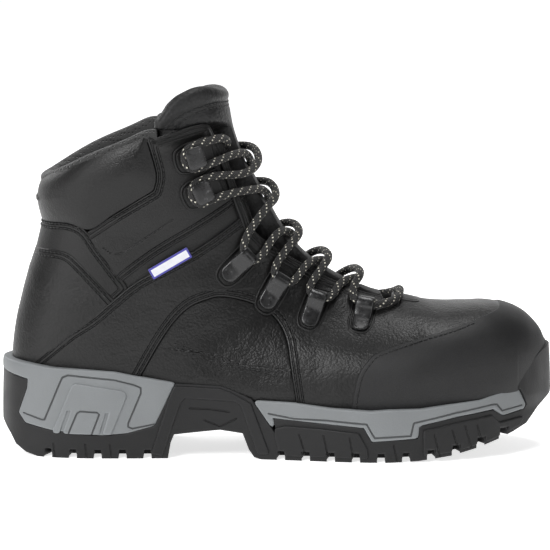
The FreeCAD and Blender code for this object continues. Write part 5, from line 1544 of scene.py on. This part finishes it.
tongue_face = tongue_base + tongue_out * tongue_lift[..., None]
tongue_normal = unit(np.cross(np.gradient(tongue_face, axis=1), np.gradient(tongue_face, axis=0)))
tongue_normal[(tongue_normal * tongue_out).sum(-1) < 0] *= -1
row_reach = reach_along(tongue_face[:, tongue_face.shape[1] // 2])
from_top = np.broadcast_to(row_reach[:, None], tongue_u.shape)
across_steps = np.linalg.norm(np.diff(tongue_face, axis=1), axis=-1)
across_reach = np.concatenate([np.zeros((len(tongue_u), 1)), np.cumsum(across_steps, axis=1)], axis=1)
from_side = np.minimum(across_reach, across_reach[:, -1:] - across_reach)
top_round, side_round = (np.sqrt(np.clip(1 - (1 - np.clip(v, 0, 1)) ** 2, 0, 1))
                         for v in (from_top / TOP_ROUND, from_side / SIDE_ROUND))
half_thick = TONGUE_HALF * top_round * side_round
roll = 0.8 * np.exp(-((from_top - 3.5) / 2.6) ** 2) * wide_top
channel = sum(np.exp(-(from_top - at) ** 2) for at in TONGUE_ROWS) * 0.7 * wide_top
middle_face = tongue_face - tongue_normal * TONGUE_HALF
tongue_points_front = middle_face + tongue_normal * (half_thick + (roll - channel) * top_round
                                                      * side_round)[..., None]
tongue_points_back = middle_face - tongue_normal * half_thick[..., None]
tongue_points_middle = middle_face - tongue_normal * (half_thick * 0.25)[..., None]


def two_faced(name, front, back, material, data=None):
    """A closed piece from two grids and a wall between their borders."""
    index, quad = grid_numbers(*front.shape[:2])
    quad, count = quad[:, [0, 3, 2, 1]], index.size
    loop = np.concatenate([index[0, :-1], index[:-1, -1], index[-1, :0:-1], index[:0:-1, 0]])
    wall = np.stack([loop, np.roll(loop, -1), np.roll(loop, -1) + count, loop + count], -1)
    faces = np.concatenate([quad, quad[:, ::-1] + count, wall])
    points = np.concatenate([front.reshape(-1, 3), back.reshape(-1, 3)])
    return make_mesh(name, points, faces, material, data)


border_gap = np.minimum(from_top + 3.0, from_side + 0.5)
tongue_data = {"edge": np.concatenate([border_gap.ravel(), border_gap.ravel()]),
               "line": np.full(2 * border_gap.size, NO_LINE)}
tongue = two_faced("tongue_front", tongue_points_front, tongue_points_middle, tongue_skin, tongue_data)
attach(tongue, "tongue")
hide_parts("tongue_leather", "tongue_padding")
tongue_back = two_faced("tongue_back", tongue_points_middle - tongue_normal * 0.15, tongue_points_back,
                        air_mesh)
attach(tongue_back, "tongue")
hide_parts("tongue_lining")

# ---------------------------------------------------------------- stitches

boot_stitches = stitch_object("boot_stitches", thread)
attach(boot_stitches, "boot")

for at in TONGUE_ROWS:
    row = int(np.argmin(np.abs(row_reach - at)))
    add_stitches(tongue_points_front[row, 6:-6], tongue_normal[row, 6:-6])
for at, half in PADS[:3]:
    for edge_u in (at - half * 0.8, at + half * 0.8):
        row = int(np.argmin(np.abs(tongue_rows - edge_u)))
        held = aside[row] < 7.4
        add_stitches(tongue_points_front[row, held], tongue_normal[row, held])
tongue_stitches = stitch_object("tongue_stitches", thread)
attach(tongue_stitches, "tongue")
# Each tongue piece gets a mesh of its own, so that its sides could fold in as the tongue is pushed back into
# the shaft.
for piece in (tongue, tongue_back, tongue_stitches):
    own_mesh(piece)

# ---------------------------------------------------------------- CAD pieces that stay

KEPT = {
    "outsole": tread_rubber, "aglet_outer": aglet_film, "aglet_inner": aglet_film,
    "steel_toe_cap": steel, "toe_cap_rim_strip": foam, "heel_stiffener": stiff_sheet,
    "insole_board": stiff_sheet, "shank": stiff_sheet, "loop_rivets_outer": black_metal,
    "loop_rivets_inner": black_metal,
}
for node, material in KEPT.items():
    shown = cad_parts[node]
    for slot in shown.material_slots:
        slot.material = material

# ---------------------------------------------------------------- floor and light

SWEEP = [(-6.0, 0.0), (4.6, 0.0), (5.4, 0.06), (6.2, 0.26), (6.9, 0.7), (7.4, 1.4), (7.6, 2.4), (7.6, 8.0)]
SWEEP_HALF = 9.0
sweep_points = [(x, y, z) for y, z in SWEEP for x in (-SWEEP_HALF, SWEEP_HALF)]
sweep_faces = [(2 * i, 2 * i + 1, 2 * i + 3, 2 * i + 2) for i in range(len(SWEEP) - 1)]
paper = Nodes("pale_paper")
paper_tone = paper.mix(paper.noise(6.0, 3.0), (0.9, 0.9, 0.9), (0.94, 0.94, 0.94))
paper_material = paper.finish(Base_Color=paper_tone, Roughness=0.9, Specular_IOR_Level=0.1,
                              Emission_Color=(1.0, 1.0, 1.0), Emission_Strength=0.7,
                              Normal=paper.bump(paper.noise(900.0), 0.00002))
sweep = make_mesh("studio_sweep", np.array(sweep_points) / MM, sweep_faces, paper_material)

world = bpy.data.worlds.new("studio")
world.use_nodes = True
background = world.node_tree.nodes["Background"]
background.inputs["Color"].default_value = (1.0, 1.0, 1.0, 1.0)
background.inputs["Strength"].default_value = 0.08
bpy.context.scene.world = world


def soft_light(name, place, target, wide, high, power):
    """A rectangular light, wide by high in metres, that points at its target; power is in watts."""
    lamp = bpy.data.lights.new(name, "AREA")
    lamp.shape = "RECTANGLE"
    lamp.size, lamp.size_y = wide, high
    lamp.energy = power
    made = bpy.data.objects.new(name, lamp)
    made.location = place
    made.rotation_euler = (Vector(target) - Vector(place)).to_track_quat("-Z", "Y").to_euler()
    bpy.context.scene.collection.objects.link(made)


soft_light("key", (-1.0, -1.7, 1.35), (0, 0, 0.1), 0.9, 0.8, 36.0)
soft_light("top", (0.3, 0.1, 2.0), (0, 0, 0.1), 1.2, 0.6, 18.0)
soft_light("fill", (1.7, -1.3, 0.8), (0, 0, 0.1), 1.0, 1.0, 6.0)
soft_light("side", (-1.9, -1.1, 0.5), (0, 0, 0.1), 0.5, 0.9, 9.0)
soft_light("rim", (-1.4, 1.2, 1.0), (0, 0, 0.12), 0.8, 0.8, 10.0)
bpy.context.scene.view_settings.view_transform = "Standard"
